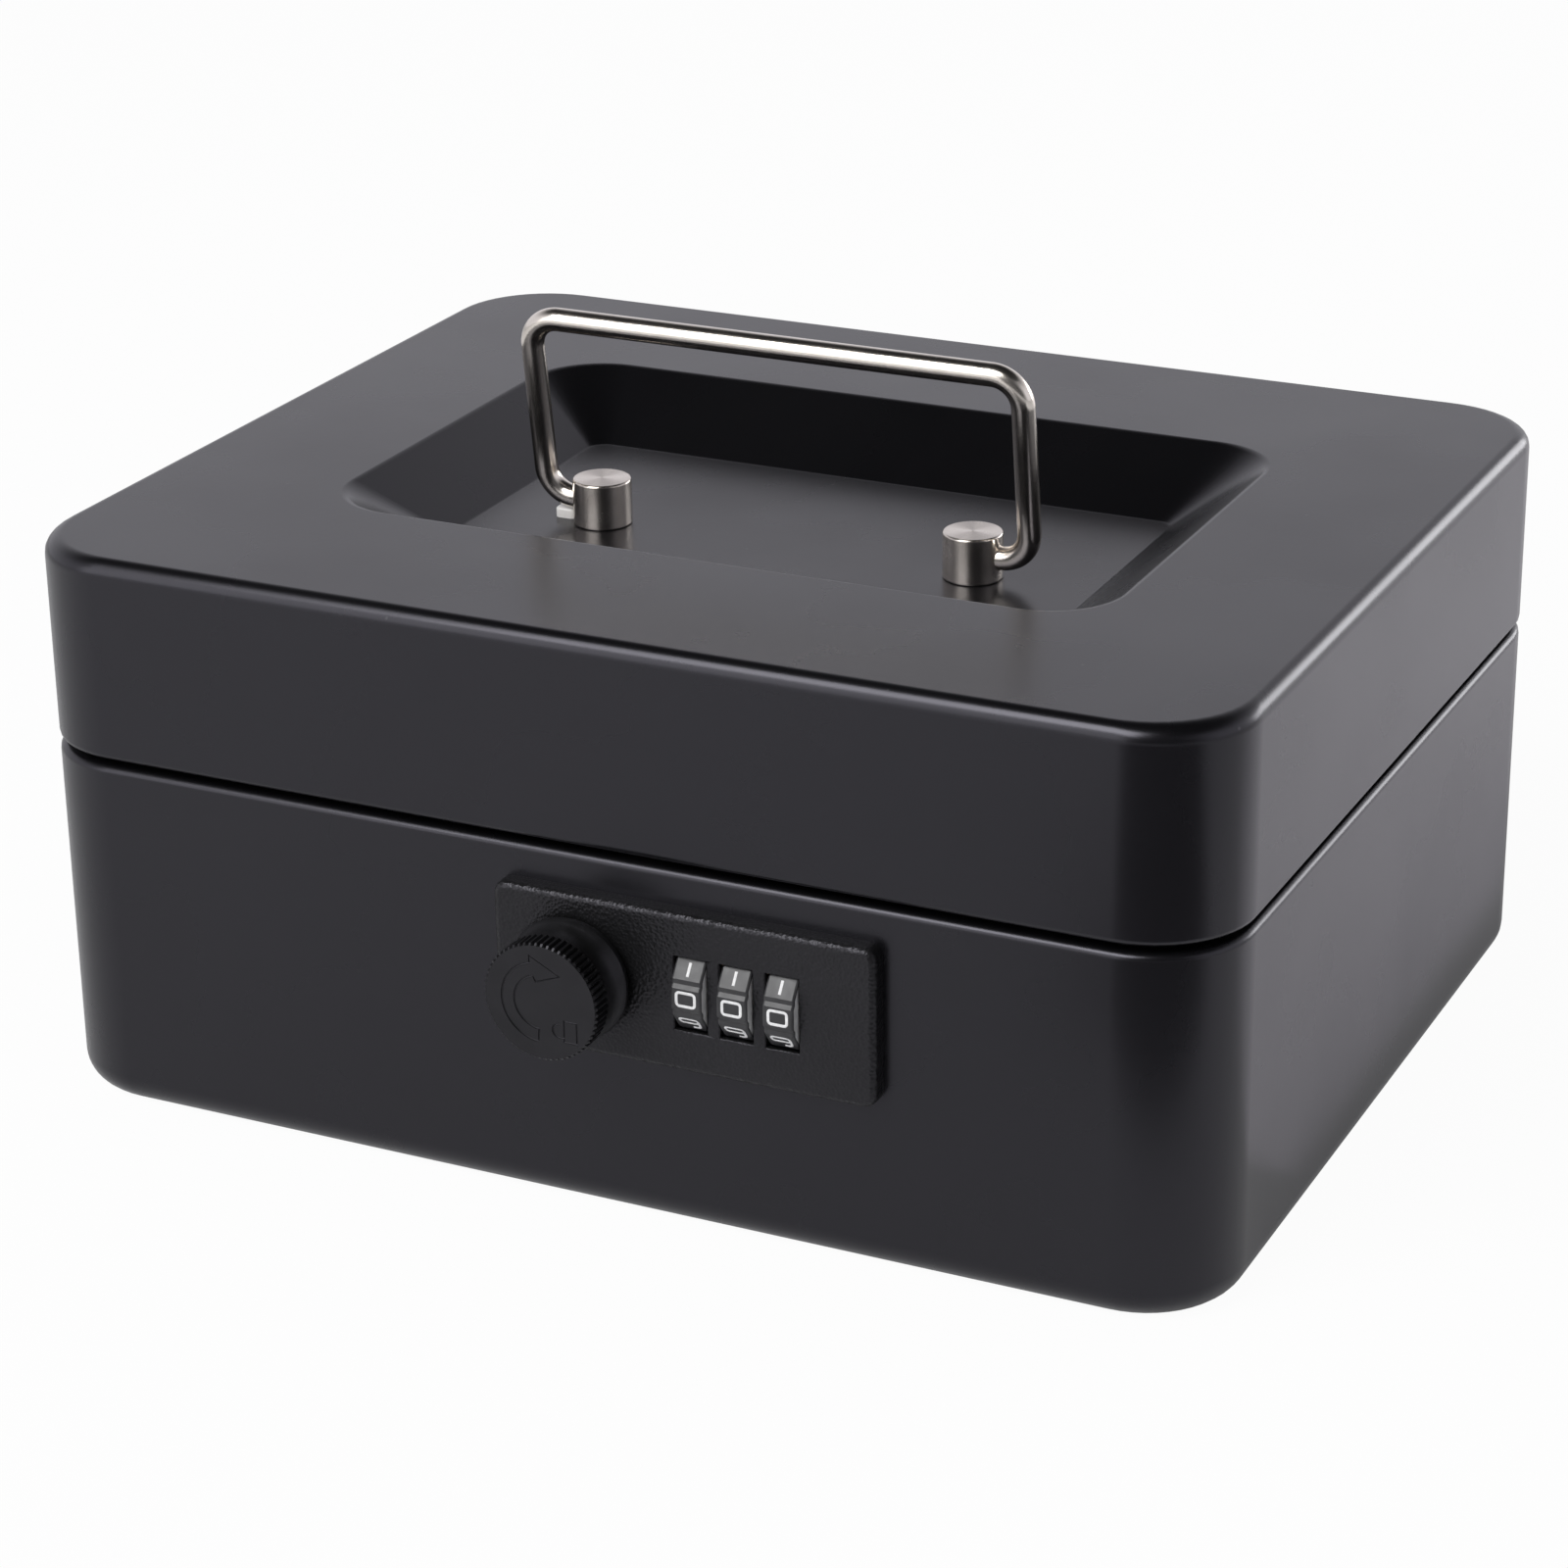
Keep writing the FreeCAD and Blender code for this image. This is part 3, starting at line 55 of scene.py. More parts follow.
# How close two places count as one, in millimetres
NEAR = 0.02
BOX_HALF_WIDTH = 100.0
BOX_HALF_DEPTH = 80.0
BOX_CORNER = 16.0
CORNER_STEPS = 12
SHEET = 1.0
RIM_ROUND = 1.2
BASE_TOP = 59.4
BASE_BOTTOM_ROUND = 5.2
BASE_RIM = 8.0
HINGE_PLACES = (-55.0, 55.0)
HINGE_SLOT = 18.5
HINGE_SLOT_FRONT, HINGE_SLOT_BACK = 76.3, 82.0
BASE_SLOT_HEIGHTS = (57.0, 61.0)
LOCK_OPENING = ((-12.1, -82, 29.95), (47.5, -78, 52.45))
LOCK_OPENING_CORNER = 2.2


def put_down():
    """Object mode with nothing selected."""
    if bpy.context.object and bpy.context.object.mode == "EDIT":
        bpy.ops.object.mode_set(mode="OBJECT")
    bpy.ops.object.select_all(action="DESELECT")


def use(piece):
    """Object mode with this piece alone selected and active."""
    put_down()
    piece.select_set(True)
    bpy.context.view_layer.objects.active = piece


def settle(piece, name):
    """Names a new primitive and puts its place and size into its mesh."""
    piece.name = name
    piece.data.name = name
    use(piece)
    bpy.ops.object.transform_apply(location=True, rotation=True, scale=True)
    return piece


def block(name, low, high):
    """Box between two corners, in millimetres."""
    put_down()
    middle = [(a + b) / 2 * MM for a, b in zip(low, high)]
    size = [(b - a) * MM for a, b in zip(low, high)]
    bpy.ops.mesh.primitive_cube_add(size=1, location=middle, scale=size)
    return settle(bpy.context.object, name)


def pick(piece, kind, test):
    """Edit mode with only the points, edges or faces selected whose corners, in millimetres, pass a test."""
    if bpy.context.object.mode != "EDIT":
        use(piece)
        bpy.ops.object.mode_set(mode="EDIT")
    bpy.ops.mesh.select_mode(type=kind)
    bpy.ops.mesh.select_all(action="DESELECT")
    mesh = bmesh.from_edit_mesh(piece.data)
    if kind == "VERT":
        parts = [(point, [point]) for point in mesh.verts]
    else:
        parts = [(part, part.verts) for part in (mesh.edges if kind == "EDGE" else mesh.faces)]
    for part, corners in parts:
        if test(*(corner.co / MM for corner in corners)):
            part.select_set(True)
    mesh.select_flush_mode()
    bmesh.update_edit_mesh(piece.data)


def level(axis, place):
    """Test for corners that all lie at one place along an axis."""
    index = "xyz".index(axis)
    return lambda *corners: all(abs(c[index] - place) < NEAR for c in corners)


def along(axis):
    """Test for edges that run along an axis."""
    index = "xyz".index(axis)
    return lambda a, b: abs(a[index] - b[index]) > 0.99 * (a - b).length


def on_outline(half_width, half_depth, corner):
    """Test for corners that lie on a rectangle with round corners."""
    def gap(c):
        x = abs(c.x) - (half_width - corner)
        y = abs(c.y) - (half_depth - corner)
        return math.hypot(max(x, 0), max(y, 0)) + min(max(x, y), 0) - corner
    return lambda *corners: all(abs(gap(c)) < NEAR for c in corners)


def both(first, second):
    """Test for what passes two tests."""
    return lambda *corners: first(*corners) and second(*corners)


def ease(offset, steps):
    """Rounds the selected edges."""
    bpy.ops.mesh.bevel(offset=offset * MM, segments=steps, affect="EDGES", clamp_overlap=False)


def carve(piece, *cutters):
    """Takes the cutters' shapes out of a piece and removes them."""
    for cutter in cutters:
        use(piece)
        cut = piece.modifiers.new("cut", "BOOLEAN")
        cut.object = cutter
        cut.solver = "EXACT"
        bpy.ops.object.modifier_apply(modifier=cut.name)
        bpy.data.objects.remove(cutter)


def give_wall(piece, thickness):
    """Turns an open skin into sheet metal, with the thickness on its inner side."""
    pick(piece, "FACE", lambda *corners: True)
    bpy.ops.mesh.remove_doubles(threshold=0.002 * MM)
    bpy.ops.mesh.normals_make_consistent(inside=False)
    use(piece)
    wall = piece.modifiers.new("wall", "SOLIDIFY")
    wall.thickness = thickness * MM
    wall.offset = -1
    wall.use_even_offset = True
    bpy.ops.object.modifier_apply(modifier=wall.name)


def smooth(piece, angle=30):
    """Smooth shading up to an angle, weighed so that flat faces stay flat."""
    use(piece)
    bpy.ops.object.shade_smooth_by_angle(angle=math.radians(angle))
    weights = piece.modifiers.new("normals", "WEIGHTED_NORMAL")
    weights.keep_sharp = True
    bpy.ops.object.modifier_apply(modifier=weights.name)


def new_finish(name, colour, metal, roughness, bounce=0.5):
    """Material with a plain shader, and what its textures are wired with."""
    material = bpy.data.materials.new(name)
    material.use_nodes = True
    tree = material.node_tree
    shader = tree.nodes["Principled BSDF"]
    shader.inputs["Base Color"].default_value = (*colour, 1)
    shader.inputs["Metallic"].default_value = metal
    shader.inputs["Roughness"].default_value = roughness
    shader.inputs["Specular IOR Level"].default_value = bounce
    coords = tree.nodes.new("ShaderNodeTexCoord").outputs["Object"]
    return material, tree, shader, coords


def clouds(tree, coords, scale, detail=3.0, stretch=(1, 1, 1)):
    """Noise over the piece, scale lumps to the metre."""
    mapping = tree.nodes.new("ShaderNodeMapping")
    mapping.inputs["Scale"].default_value = stretch
    tree.links.new(coords, mapping.inputs["Vector"])
    noise = tree.nodes.new("ShaderNodeTexNoise")
    noise.inputs["Scale"].default_value = scale
    noise.inputs["Detail"].default_value = detail
    tree.links.new(mapping.outputs["Vector"], noise.inputs["Vector"])
    return noise.outputs["Fac"]


def spread(tree, value, low, high, start=0.3, end=0.7):
    """Maps a texture's value to a range."""
    node = tree.nodes.new("ShaderNodeMapRange")
    node.inputs["From Min"].default_value = start
    node.inputs["From Max"].default_value = end
    node.inputs["To Min"].default_value = low
    node.inputs["To Max"].default_value = high
    tree.links.new(value, node.inputs["Value"])
    return node.outputs["Result"]


def tint(tree, value, stops):
    """Colours along a texture's value."""
    ramp = tree.nodes.new("ShaderNodeValToRGB")
    band = ramp.color_ramp
    while len(band.elements) < len(stops):
        band.elements.new(1.0)
    for element, (place, colour) in zip(band.elements, stops):
        element.position = place
        element.color = (*colour, 1)
    tree.links.new(value, ramp.inputs["Fac"])
    return ramp.outputs["Color"]


def vary_dullness(tree, shader, value, low, high, start=0.3, end=0.7):
    """Lets a texture's value carry the roughness from one value to another."""
    tree.links.new(spread(tree, value, low, high, start, end), shader.inputs["Roughness"])


def relief(tree, shader, height, depth):
    """Bump of a given depth in millimetres."""
    bump = tree.nodes.new("ShaderNodeBump")
    bump.inputs["Strength"].default_value = 1.0
    bump.inputs["Distance"].default_value = depth * MM
    tree.links.new(height, bump.inputs["Height"])
    tree.links.new(bump.outputs["Normal"], shader.inputs["Normal"])


def make_enamel():
    """Satin black stove enamel: slight cloudiness, a fine skin and a few specks of dust."""
    material, tree, shader, coords = new_finish("satin_black_enamel", (0.0042, 0.0042, 0.0048), 0.0, 0.38)
    specks = tree.nodes.new("ShaderNodeTexVoronoi")
    specks.inputs["Scale"].default_value = 95.0
    tree.links.new(coords, specks.inputs["Vector"])
    dust = tint(tree, specks.outputs["Distance"], [
        (0.0, (0.05, 0.05, 0.052)), (0.018, (0.03, 0.03, 0.031)), (0.03, (0.0032, 0.0032, 0.0036)),
        (1.0, (0.0037, 0.0036, 0.0042)),
    ])
    tree.links.new(dust, shader.inputs["Base Color"])
    shader.inputs["Specular Tint"].default_value = (0.9, 0.88, 1.0, 1)
    cloudy = clouds(tree, coords, 26.0, 5.0)
    vary_dullness(tree, shader, cloudy, 0.25, 0.3)
    relief(tree, shader, clouds(tree, coords, 900.0, 2.0), 0.004)
    return material


def dress(piece, material, body, slot, *nodes):
    """Gives a piece its finish and its place on the frame."""
    piece.data.materials.clear()
    piece.data.materials.append(material)
    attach(piece, body)
    if nodes:
        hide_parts(*nodes)


def hinge_slot(place, low, high):
    """Cutter for the gap in a rear rim where a hinge's barrel lies."""
    return block(
        "hinge_slot", (place - HINGE_SLOT, HINGE_SLOT_FRONT, low), (place + HINGE_SLOT, HINGE_SLOT_BACK, high),
    )


enamel = make_enamel()
on_wall = on_outline(BOX_HALF_WIDTH, BOX_HALF_DEPTH, BOX_CORNER)
tub = block("base_tub", (-BOX_HALF_WIDTH, -BOX_HALF_DEPTH, 0), (BOX_HALF_WIDTH, BOX_HALF_DEPTH, BASE_TOP))
pick(tub, "EDGE", along("z"))
ease(BOX_CORNER, CORNER_STEPS)
pick(tub, "EDGE", level("z", 0))
ease(BASE_BOTTOM_ROUND, 8)
pick(tub, "FACE", level("z", BASE_TOP))
bpy.ops.mesh.inset(thickness=BASE_RIM * MM)
bpy.ops.mesh.delete(type="FACE")
pick(tub, "EDGE", both(level("z", BASE_TOP), on_wall))
ease(RIM_ROUND, 4)
give_wall(tub, SHEET)
opening = block("lock_opening", *LOCK_OPENING)
pick(opening, "EDGE", along("y"))
ease(LOCK_OPENING_CORNER, 5)
carve(tub, opening)
for place in HINGE_PLACES:
    carve(tub, hinge_slot(place, *BASE_SLOT_HEIGHTS))
smooth(tub)
dress(tub, enamel, "base", "painted_steel", "base_shell")

# Lid
# Drawn from the same sheet, with a sunk dish in its top where the bail folds away, a narrow rim
# turned inwards, two holes for the posts of the bail and slots for the hinge barrels.
LID_EDGE = 60.4
LID_TOP = 93.6
LID_TOP_ROUND = 2.8
LID_RIM = 3.0
LID_SLOT_HEIGHTS = (59.0, 62.8)
# The dish's rim and floor: half width, half depth and corner radius
DISH_RIM = (66.5, 42.5, 12.5)
DISH_FLOOR = (53.0, 27.0, 3.0)
DISH_FLOOR_HEIGHT = 84.3
DISH_RIM_EASE = 0.62
DISH_FLOOR_EASE = 0.31
POST_PLACES = (-32.7, 32.7)
POST_FORWARD = -9.1
STUD_HOLE_RADIUS = 2.2
STUD_HOLE_CUT = 6.0
RING_LIFT = 5.0


def rod(name, centre, radius, length, turn=(0, 0, 0), sides=64):
    """Round bar along Z, or turned from there by three angles in degrees."""
    put_down()
    bpy.ops.mesh.primitive_cylinder_add(
        vertices=sides, radius=radius * MM, depth=length * MM,
        location=[c * MM for c in centre], rotation=[math.radians(a) for a in turn],
    )
    return settle(bpy.context.object, name)


def step_ring(piece, old, old_height, new, new_height):
    """Extrudes the selected face, a rectangle with round corners, and shapes its ring to another such one."""
    lifted = old_height + RING_LIFT
    ratio = new[2] / old[2]
    bpy.ops.mesh.extrude_region_move(TRANSFORM_OT_translate={"value": (0, 0, RING_LIFT * MM)})
    for x_side in (-1, 1):
        for y_side in (-1, 1):
            centre = [x_side * (old[0] - old[2]), y_side * (old[1] - old[2]), lifted]
            target = [x_side * (new[0] - new[2]), y_side * (new[1] - new[2]), new_height]
            pick(piece, "VERT", lambda c: abs(c.z - lifted) < NEAR and c.x * x_side > 0 and c.y * y_side > 0)
            bpy.ops.transform.resize(value=(ratio, ratio, 1), center_override=[c * MM for c in centre])
            bpy.ops.transform.translate(value=[(b - a) * MM for a, b in zip(centre, target)])
    on_ring = both(level("z", new_height), on_outline(*new))
    pick(piece, "FACE", lambda *corners: len(corners) > 4 and on_ring(*corners))


lid = block(
    "lid_pressing", (-BOX_HALF_WIDTH, -BOX_HALF_DEPTH, LID_EDGE), (BOX_HALF_WIDTH, BOX_HALF_DEPTH, LID_TOP),
)
pick(lid, "EDGE", along("z"))
ease(BOX_CORNER, CORNER_STEPS)
pick(lid, "FACE", level("z", LID_EDGE))
bpy.ops.mesh.inset(thickness=LID_RIM * MM)
bpy.ops.mesh.delete(type="FACE")
pick(lid, "FACE", level("z", LID_TOP))
step_ring(lid, (BOX_HALF_WIDTH, BOX_HALF_DEPTH, BOX_CORNER), LID_TOP, DISH_RIM, LID_TOP)
step_ring(lid, DISH_RIM, LID_TOP, DISH_FLOOR, DISH_FLOOR_HEIGHT)
pick(lid, "EDGE", both(level("z", DISH_FLOOR_HEIGHT), on_outline(*DISH_FLOOR)))
ease(DISH_FLOOR_EASE, 3)
pick(lid, "EDGE", both(level("z", LID_TOP), on_outline(*DISH_RIM)))
ease(DISH_RIM_EASE, 4)
pick(lid, "EDGE", both(level("z", LID_TOP), on_wall))
ease(LID_TOP_ROUND, 8)
pick(lid, "EDGE", both(level("z", LID_EDGE), on_wall))
ease(RIM_ROUND, 4)
give_wall(lid, SHEET)
for place in HINGE_PLACES:
    carve(lid, hinge_slot(place, *LID_SLOT_HEIGHTS))
for place in POST_PLACES:
    hole_middle = (place, POST_FORWARD, DISH_FLOOR_HEIGHT)
    carve(lid, rod("stud_hole", hole_middle, STUD_HOLE_RADIUS, STUD_HOLE_CUT, sides=32))
smooth(lid)
dress(lid, enamel, "lid", "painted_steel", "lid_shell")

# Posts of the bail
# Turned nickel-plated posts with a flat faced top and eased edges, held by a stud through the lid.
# A hole in the outer side of each takes one end of the bail.
POST_RADIUS = 4.8
POST_HEIGHT = 7.6
POST_TOP_EDGE = 0.4
POST_FOOT_EDGE = 0.35
STUD_RADIUS = 2.0
STUD_LENGTH = 6.0
PIVOT_HEIGHT = 88.0
PIVOT_BORE_RADIUS = 1.95
PIVOT_BORE_DEPTH = 5.6
# How far a cutter reaches past the face that it cuts
CUT_PAST = 1.0


def vary_colour(tree, shader, value, first, second, start=0.3, end=0.7):
    """Lets a texture's value carry the colour from one to another."""
    tree.links.new(tint(tree, value, [(start, first), (end, second)]), shader.inputs["Base Color"])


def make_turned_nickel():
    """Plated turned metal: the fine marks of the tool run round it and draw its reflections out along it."""
    material, tree, shader, coords = new_finish("turned_nickel", (0.62, 0.58, 0.54), 1.0, 0.3)
    shader.inputs["Anisotropic"].default_value = 0.9
    shader.inputs["Anisotropic Rotation"].default_value = 0.25
    smears = clouds(tree, coords, 240.0, 4.0)
    vary_dullness(tree, shader, smears, 0.24, 0.28)
    vary_colour(tree, shader, smears, (0.6, 0.55, 0.5), (0.68, 0.63, 0.58))
    return material


turned_nickel = make_turned_nickel()
for side, place in zip(("left", "right"), POST_PLACES):
    outward = math.copysign(1, place)
    post_middle = (place, POST_FORWARD, DISH_FLOOR_HEIGHT + POST_HEIGHT / 2)
    post = rod(f"bail_post_{side}", post_middle, POST_RADIUS, POST_HEIGHT)
    pick(post, "EDGE", level("z", DISH_FLOOR_HEIGHT + POST_HEIGHT))
    ease(POST_TOP_EDGE, 3)
    pick(post, "EDGE", level("z", DISH_FLOOR_HEIGHT))
    ease(POST_FOOT_EDGE, 2)
    pick(post, "FACE", level("z", DISH_FLOOR_HEIGHT))
    bpy.ops.mesh.inset(thickness=(POST_RADIUS - POST_FOOT_EDGE - STUD_RADIUS) * MM)
    bpy.ops.mesh.extrude_region_move(TRANSFORM_OT_translate={"value": (0, 0, -STUD_LENGTH * MM)})
    bore_x = place + outward * (POST_RADIUS - (PIVOT_BORE_DEPTH - CUT_PAST) / 2)
    bore_middle = (bore_x, POST_FORWARD, PIVOT_HEIGHT)
    carve(post, rod("pivot_bore", bore_middle, PIVOT_BORE_RADIUS, PIVOT_BORE_DEPTH + CUT_PAST, (0, 90, 0), 32))
    smooth(post)
    dress(post, turned_nickel, "lid", "turned_nickel", f"handle_post_{side}")

# Bail
# One length of round steel wire, bent to a flat loop and bright nickel plated. Its two ends turn
# in the posts, and it stands a little forward of upright.
WIRE_RADIUS = 1.9
WIRE_SIDES = 40
BAIL_END = 32.5
BAIL_HALF_SPREAD = 42.5
BAIL_RISE = 31.4
BAIL_BEND = 5.0
BAIL_BEND_STEPS = 14
BAIL_LEAN = 8.0


def make_bright_nickel():
    """Bright plating on drawn wire, with a few dull spots and small pits."""
    material, tree, shader, coords = new_finish("bright_nickel", (0.72, 0.68, 0.62), 1.0, 0.09)
    spots = clouds(tree, coords, 260.0, 5.0)
    vary_dullness(tree, shader, spots, 0.19, 0.25, 0.35, 0.75)
    vary_colour(tree, shader, spots, (0.76, 0.71, 0.65), (0.66, 0.61, 0.55), 0.35, 0.75)
    pits = clouds(tree, coords, 1500.0, 1.0)
    relief(tree, shader, spread(tree, pits, 0, 1, 0.62, 0.8), 0.008)
    return material


put_down()
bpy.ops.mesh.primitive_circle_add(
    vertices=WIRE_SIDES, radius=WIRE_RADIUS * MM, location=(-BAIL_END * MM, 0, 0),
    rotation=(0, math.radians(90), 0),
)
bail = settle(bpy.context.object, "wire_bail")
near = BAIL_HALF_SPREAD - BAIL_BEND
# Each straight run of the wire, with the centre of the bend that follows it
runs = [
    ((-(near - BAIL_END), 0, 0), (-near, BAIL_BEND)),
    ((0, 0, BAIL_RISE - 2 * BAIL_BEND), (-near, BAIL_RISE - BAIL_BEND)),
    ((2 * near, 0, 0), (near, BAIL_RISE - BAIL_BEND)),
    ((0, 0, -(BAIL_RISE - 2 * BAIL_BEND)), (near, BAIL_BEND)),
    ((-(near - BAIL_END), 0, 0), None),
]
pick(bail, "EDGE", lambda *corners: True)
for run, bend in runs:
    bpy.ops.mesh.extrude_region_move(TRANSFORM_OT_translate={"value": [r * MM for r in run]})
    if bend:
        bpy.ops.mesh.spin(
            steps=BAIL_BEND_STEPS, angle=math.radians(-90), axis=(0, 1, 0),
            center=(bend[0] * MM, 0, bend[1] * MM),
        )
bpy.ops.mesh.select_all(action="SELECT")
bpy.ops.mesh.fill_holes(sides=0)
bpy.ops.mesh.remove_doubles(threshold=0.002 * MM)
bpy.ops.mesh.normals_make_consistent(inside=False)
bail.rotation_euler.x = math.radians(BAIL_LEAN)
bail.location = (0, POST_FORWARD * MM, PIVOT_HEIGHT * MM)
settle(bail, "wire_bail")
smooth(bail)
dress(bail, make_bright_nickel(), "handle", "plated_wire", "handle_bail")

# Rest of the bail
# Small pale nylon pad on the floor of the dish, under the bail's left end, which keeps the wire from
# rattling against the enamel.
REST_GAP = 0.1
REST_LENGTH = 3.6
REST_FRONT, REST_BACK = -10.0, -6.2
REST_TOP = DISH_FLOOR_HEIGHT + 1.65
REST_CORNER = 0.9
REST_EDGE = 0.4


def make_nylon():
    """Natural nylon: milky, slightly waxy, with faint clouding."""
    material, tree, shader, coords = new_finish("natural_nylon", (0.78, 0.76, 0.74), 0.0, 0.4)
    milky = clouds(tree, coords, 420.0, 3.0)
    vary_colour(tree, shader, milky, (0.74, 0.72, 0.7), (0.82, 0.8, 0.78))
    vary_dullness(tree, shader, milky, 0.34, 0.48)
    return material


rest_right = POST_PLACES[0] - POST_RADIUS - REST_GAP
rest = block(
    "bail_rest", (rest_right - REST_LENGTH, REST_FRONT, DISH_FLOOR_HEIGHT), (rest_right, REST_BACK, REST_TOP),
)
pick(rest, "EDGE", along("z"))
ease(REST_CORNER, 4)
pick(rest, "EDGE", level("z", REST_TOP))
ease(REST_EDGE, 3)
smooth(rest)
dress(rest, make_nylon(), "lid", "inner_plastic")

# Lock plate
# Black moulded plate on the front wall, with a pebbled skin, rounded front edges, three windows
# for the dials and a hole for the knob's spindle. Four bosses behind it take the screws.
LOCK_HEIGHT = 41.2
PLATE_LEFT, PLATE_RIGHT = -13.7, 49.1
PLATE_LOW, PLATE_HIGH = 28.35, 54.05
PLATE_FACE = -83.0
PLATE_CORNER = 2.2
PLATE_EDGE = 1.1
DIAL_PLACES = (19.2, 26.7, 34.2)
DIAL_RELIEF = ((16.2, -82.2, 33.12), (39.5, -79, 49.28))
WINDOW_HALF_WIDTH = 2.7
WINDOW_HALF_HEIGHT = 6.0
WINDOW_EDGE = 0.28
SPINDLE_HOLE_RADIUS = 3.7
SPINDLE_HOLE_CUT = 6.0
SPINDLE_HOLE_MIDDLE = -81.5
BOSS_RADIUS = 2.4
BOSS_LENGTH = 5.0
BOSS_MIDDLE = -77.5
BOSS_INSET = 4.3
BOSS_PLACES = [
    (x, z)
    for x in (PLATE_LEFT + BOSS_INSET, PLATE_RIGHT - BOSS_INSET)
    for z in (PLATE_LOW + BOSS_INSET, PLATE_HIGH - BOSS_INSET)
]


def make_pebbled_plastic():
    """Black moulding with a fine pebbled skin, a little greyer where it has been touched."""
    material, tree, shader, coords = new_finish("pebbled_black_plastic", (0.007, 0.007, 0.007), 0.0, 0.36, 0.36)
    touched = clouds(tree, coords, 60.0, 4.0)
    vary_colour(tree, shader, touched, (0.005, 0.005, 0.005), (0.009, 0.009, 0.0095))
    vary_dullness(tree, shader, touched, 0.29, 0.37)
    shader.inputs["Specular Tint"].default_value = (0.92, 0.9, 1.0, 1)
    pebbles = tree.nodes.new("ShaderNodeTexVoronoi")
    pebbles.inputs["Scale"].default_value = 1900.0
    tree.links.new(coords, pebbles.inputs["Vector"])
    relief(tree, shader, pebbles.outputs["Distance"], 0.085)
    return material


def window_edge(a, b):
    """Edges of the windows in the plate's front."""
    return all(
        abs(c.y - PLATE_FACE) < NEAR and abs(c.z - LOCK_HEIGHT) < WINDOW_HALF_HEIGHT + NEAR
        and min(abs(c.x - place) for place in DIAL_PLACES) < WINDOW_HALF_WIDTH + NEAR
        for c in (a, b)
    )


def join(piece, extra):
    """Makes another form part of a piece's mesh."""
    use(piece)
    extra.select_set(True)
    bpy.ops.object.join()


plate = block("lock_plate", (PLATE_LEFT, PLATE_FACE, PLATE_LOW), (PLATE_RIGHT, -BOX_HALF_DEPTH, PLATE_HIGH))
pick(plate, "EDGE", along("y"))
ease(PLATE_CORNER, 6)
pick(plate, "EDGE", level("y", PLATE_FACE))
ease(PLATE_EDGE, 5)
carve(plate, block("dial_relief", *DIAL_RELIEF))
for place in DIAL_PLACES:
    low = (place - WINDOW_HALF_WIDTH, PLATE_FACE - CUT_PAST, LOCK_HEIGHT - WINDOW_HALF_HEIGHT)
    high = (place + WINDOW_HALF_WIDTH, PLATE_FACE + CUT_PAST, LOCK_HEIGHT + WINDOW_HALF_HEIGHT)
    carve(plate, block("window", low, high))
hole_middle = (0, SPINDLE_HOLE_MIDDLE, LOCK_HEIGHT)
carve(plate, rod("spindle_hole", hole_middle, SPINDLE_HOLE_RADIUS, SPINDLE_HOLE_CUT, (90, 0, 0), 48))
pick(plate, "EDGE", window_edge)
ease(WINDOW_EDGE, 3)
smooth(plate)
for x, z in BOSS_PLACES:
    boss = rod("boss", (x, BOSS_MIDDLE, z), BOSS_RADIUS, BOSS_LENGTH, (90, 0, 0), 24)
    smooth(boss)
    join(plate, boss)
dress(plate, make_pebbled_plastic(), "base", "lock_plastic", "lock_bezel")

# Knob
# Moulded knob: a knurled grip with sixty flutes on a smooth skirt that flares out to the plate. A
# plain turn arrow and an open padlock are engraved in its face.
FLUTES = 60
FLUTE_RADIUS = 9.05
GRIP_RADIUS = 9.45
GRIP_EDGE = 0.35
KNOB_FACE = -94.0
GRIP_BACK = -90.4
SKIRT_FRONT = GRIP_BACK + 0.3
# Outline of the knob from its face to its back: place and radius
KNOB_OUTLINE = [
    (KNOB_FACE, GRIP_RADIUS - GRIP_EDGE), (KNOB_FACE + GRIP_EDGE, GRIP_RADIUS), (GRIP_BACK, GRIP_RADIUS),
    (SKIRT_FRONT, 9.1), (SKIRT_FRONT, 8.3), (-89.2, 8.3), (-88.2, 8.4), (-87.3, 8.62), (-86.5, 8.98),
    (-85.9, 9.38), (-85.5, 9.66), (-85.2, 9.8), (-84.7, 9.8), (-84.5, 9.6), (-84.5, 9.2), (-83.5, 9.2),
]
SIGN_WIDTH = 0.36
SIGN_LIFT = 0.02
ARROW_OUTSIDE, ARROW_INSIDE = 6.4, 4.3
ARROW_HEAD = [(-0.6, 3.3), (3.4, 4.8), (-1.6, 7.4)]
PADLOCK = [(3.9, -2.3), (6.0, -2.3), (6.0, -5.7), (3.9, -5.7)]
SHACKLE_CENTRE = (3.1, -4.0)
SHACKLE_RADIUS = 1.1
SHACKLE_ENDS = ((3.2, -2.9), (3.9, -5.1))


def draw_stroke(name, points, width, closed=False):
    """Round bar along a line of points on the plane x, z, in millimetres."""
    line = bpy.data.curves.new(name, "CURVE")
    line.dimensions = "3D"
    line.bevel_depth = width / 2 * MM
    line.bevel_resolution = 2
    line.use_fill_caps = True
    run = line.splines.new("POLY")
    run.points.add(len(points) - 1)
    for spot, (x, z) in zip(run.points, points):
        spot.co = (x * MM, 0, z * MM, 1)
    run.use_cyclic_u = closed
    stroke = bpy.data.objects.new(name, line)
    bpy.context.scene.collection.objects.link(stroke)
    use(stroke)
    bpy.ops.object.convert(target="MESH")
    return bpy.context.object


def polar(radius, degrees):
    """Point at a distance and an angle from the centre."""
    return radius * math.cos(math.radians(degrees)), radius * math.sin(math.radians(degrees))


def flute_bottom(c):
    """Every third point round the grip."""
    turn = math.degrees(math.atan2(c.z - LOCK_HEIGHT, c.x)) * FLUTES / 360
    return abs(turn - round(turn)) < 0.1


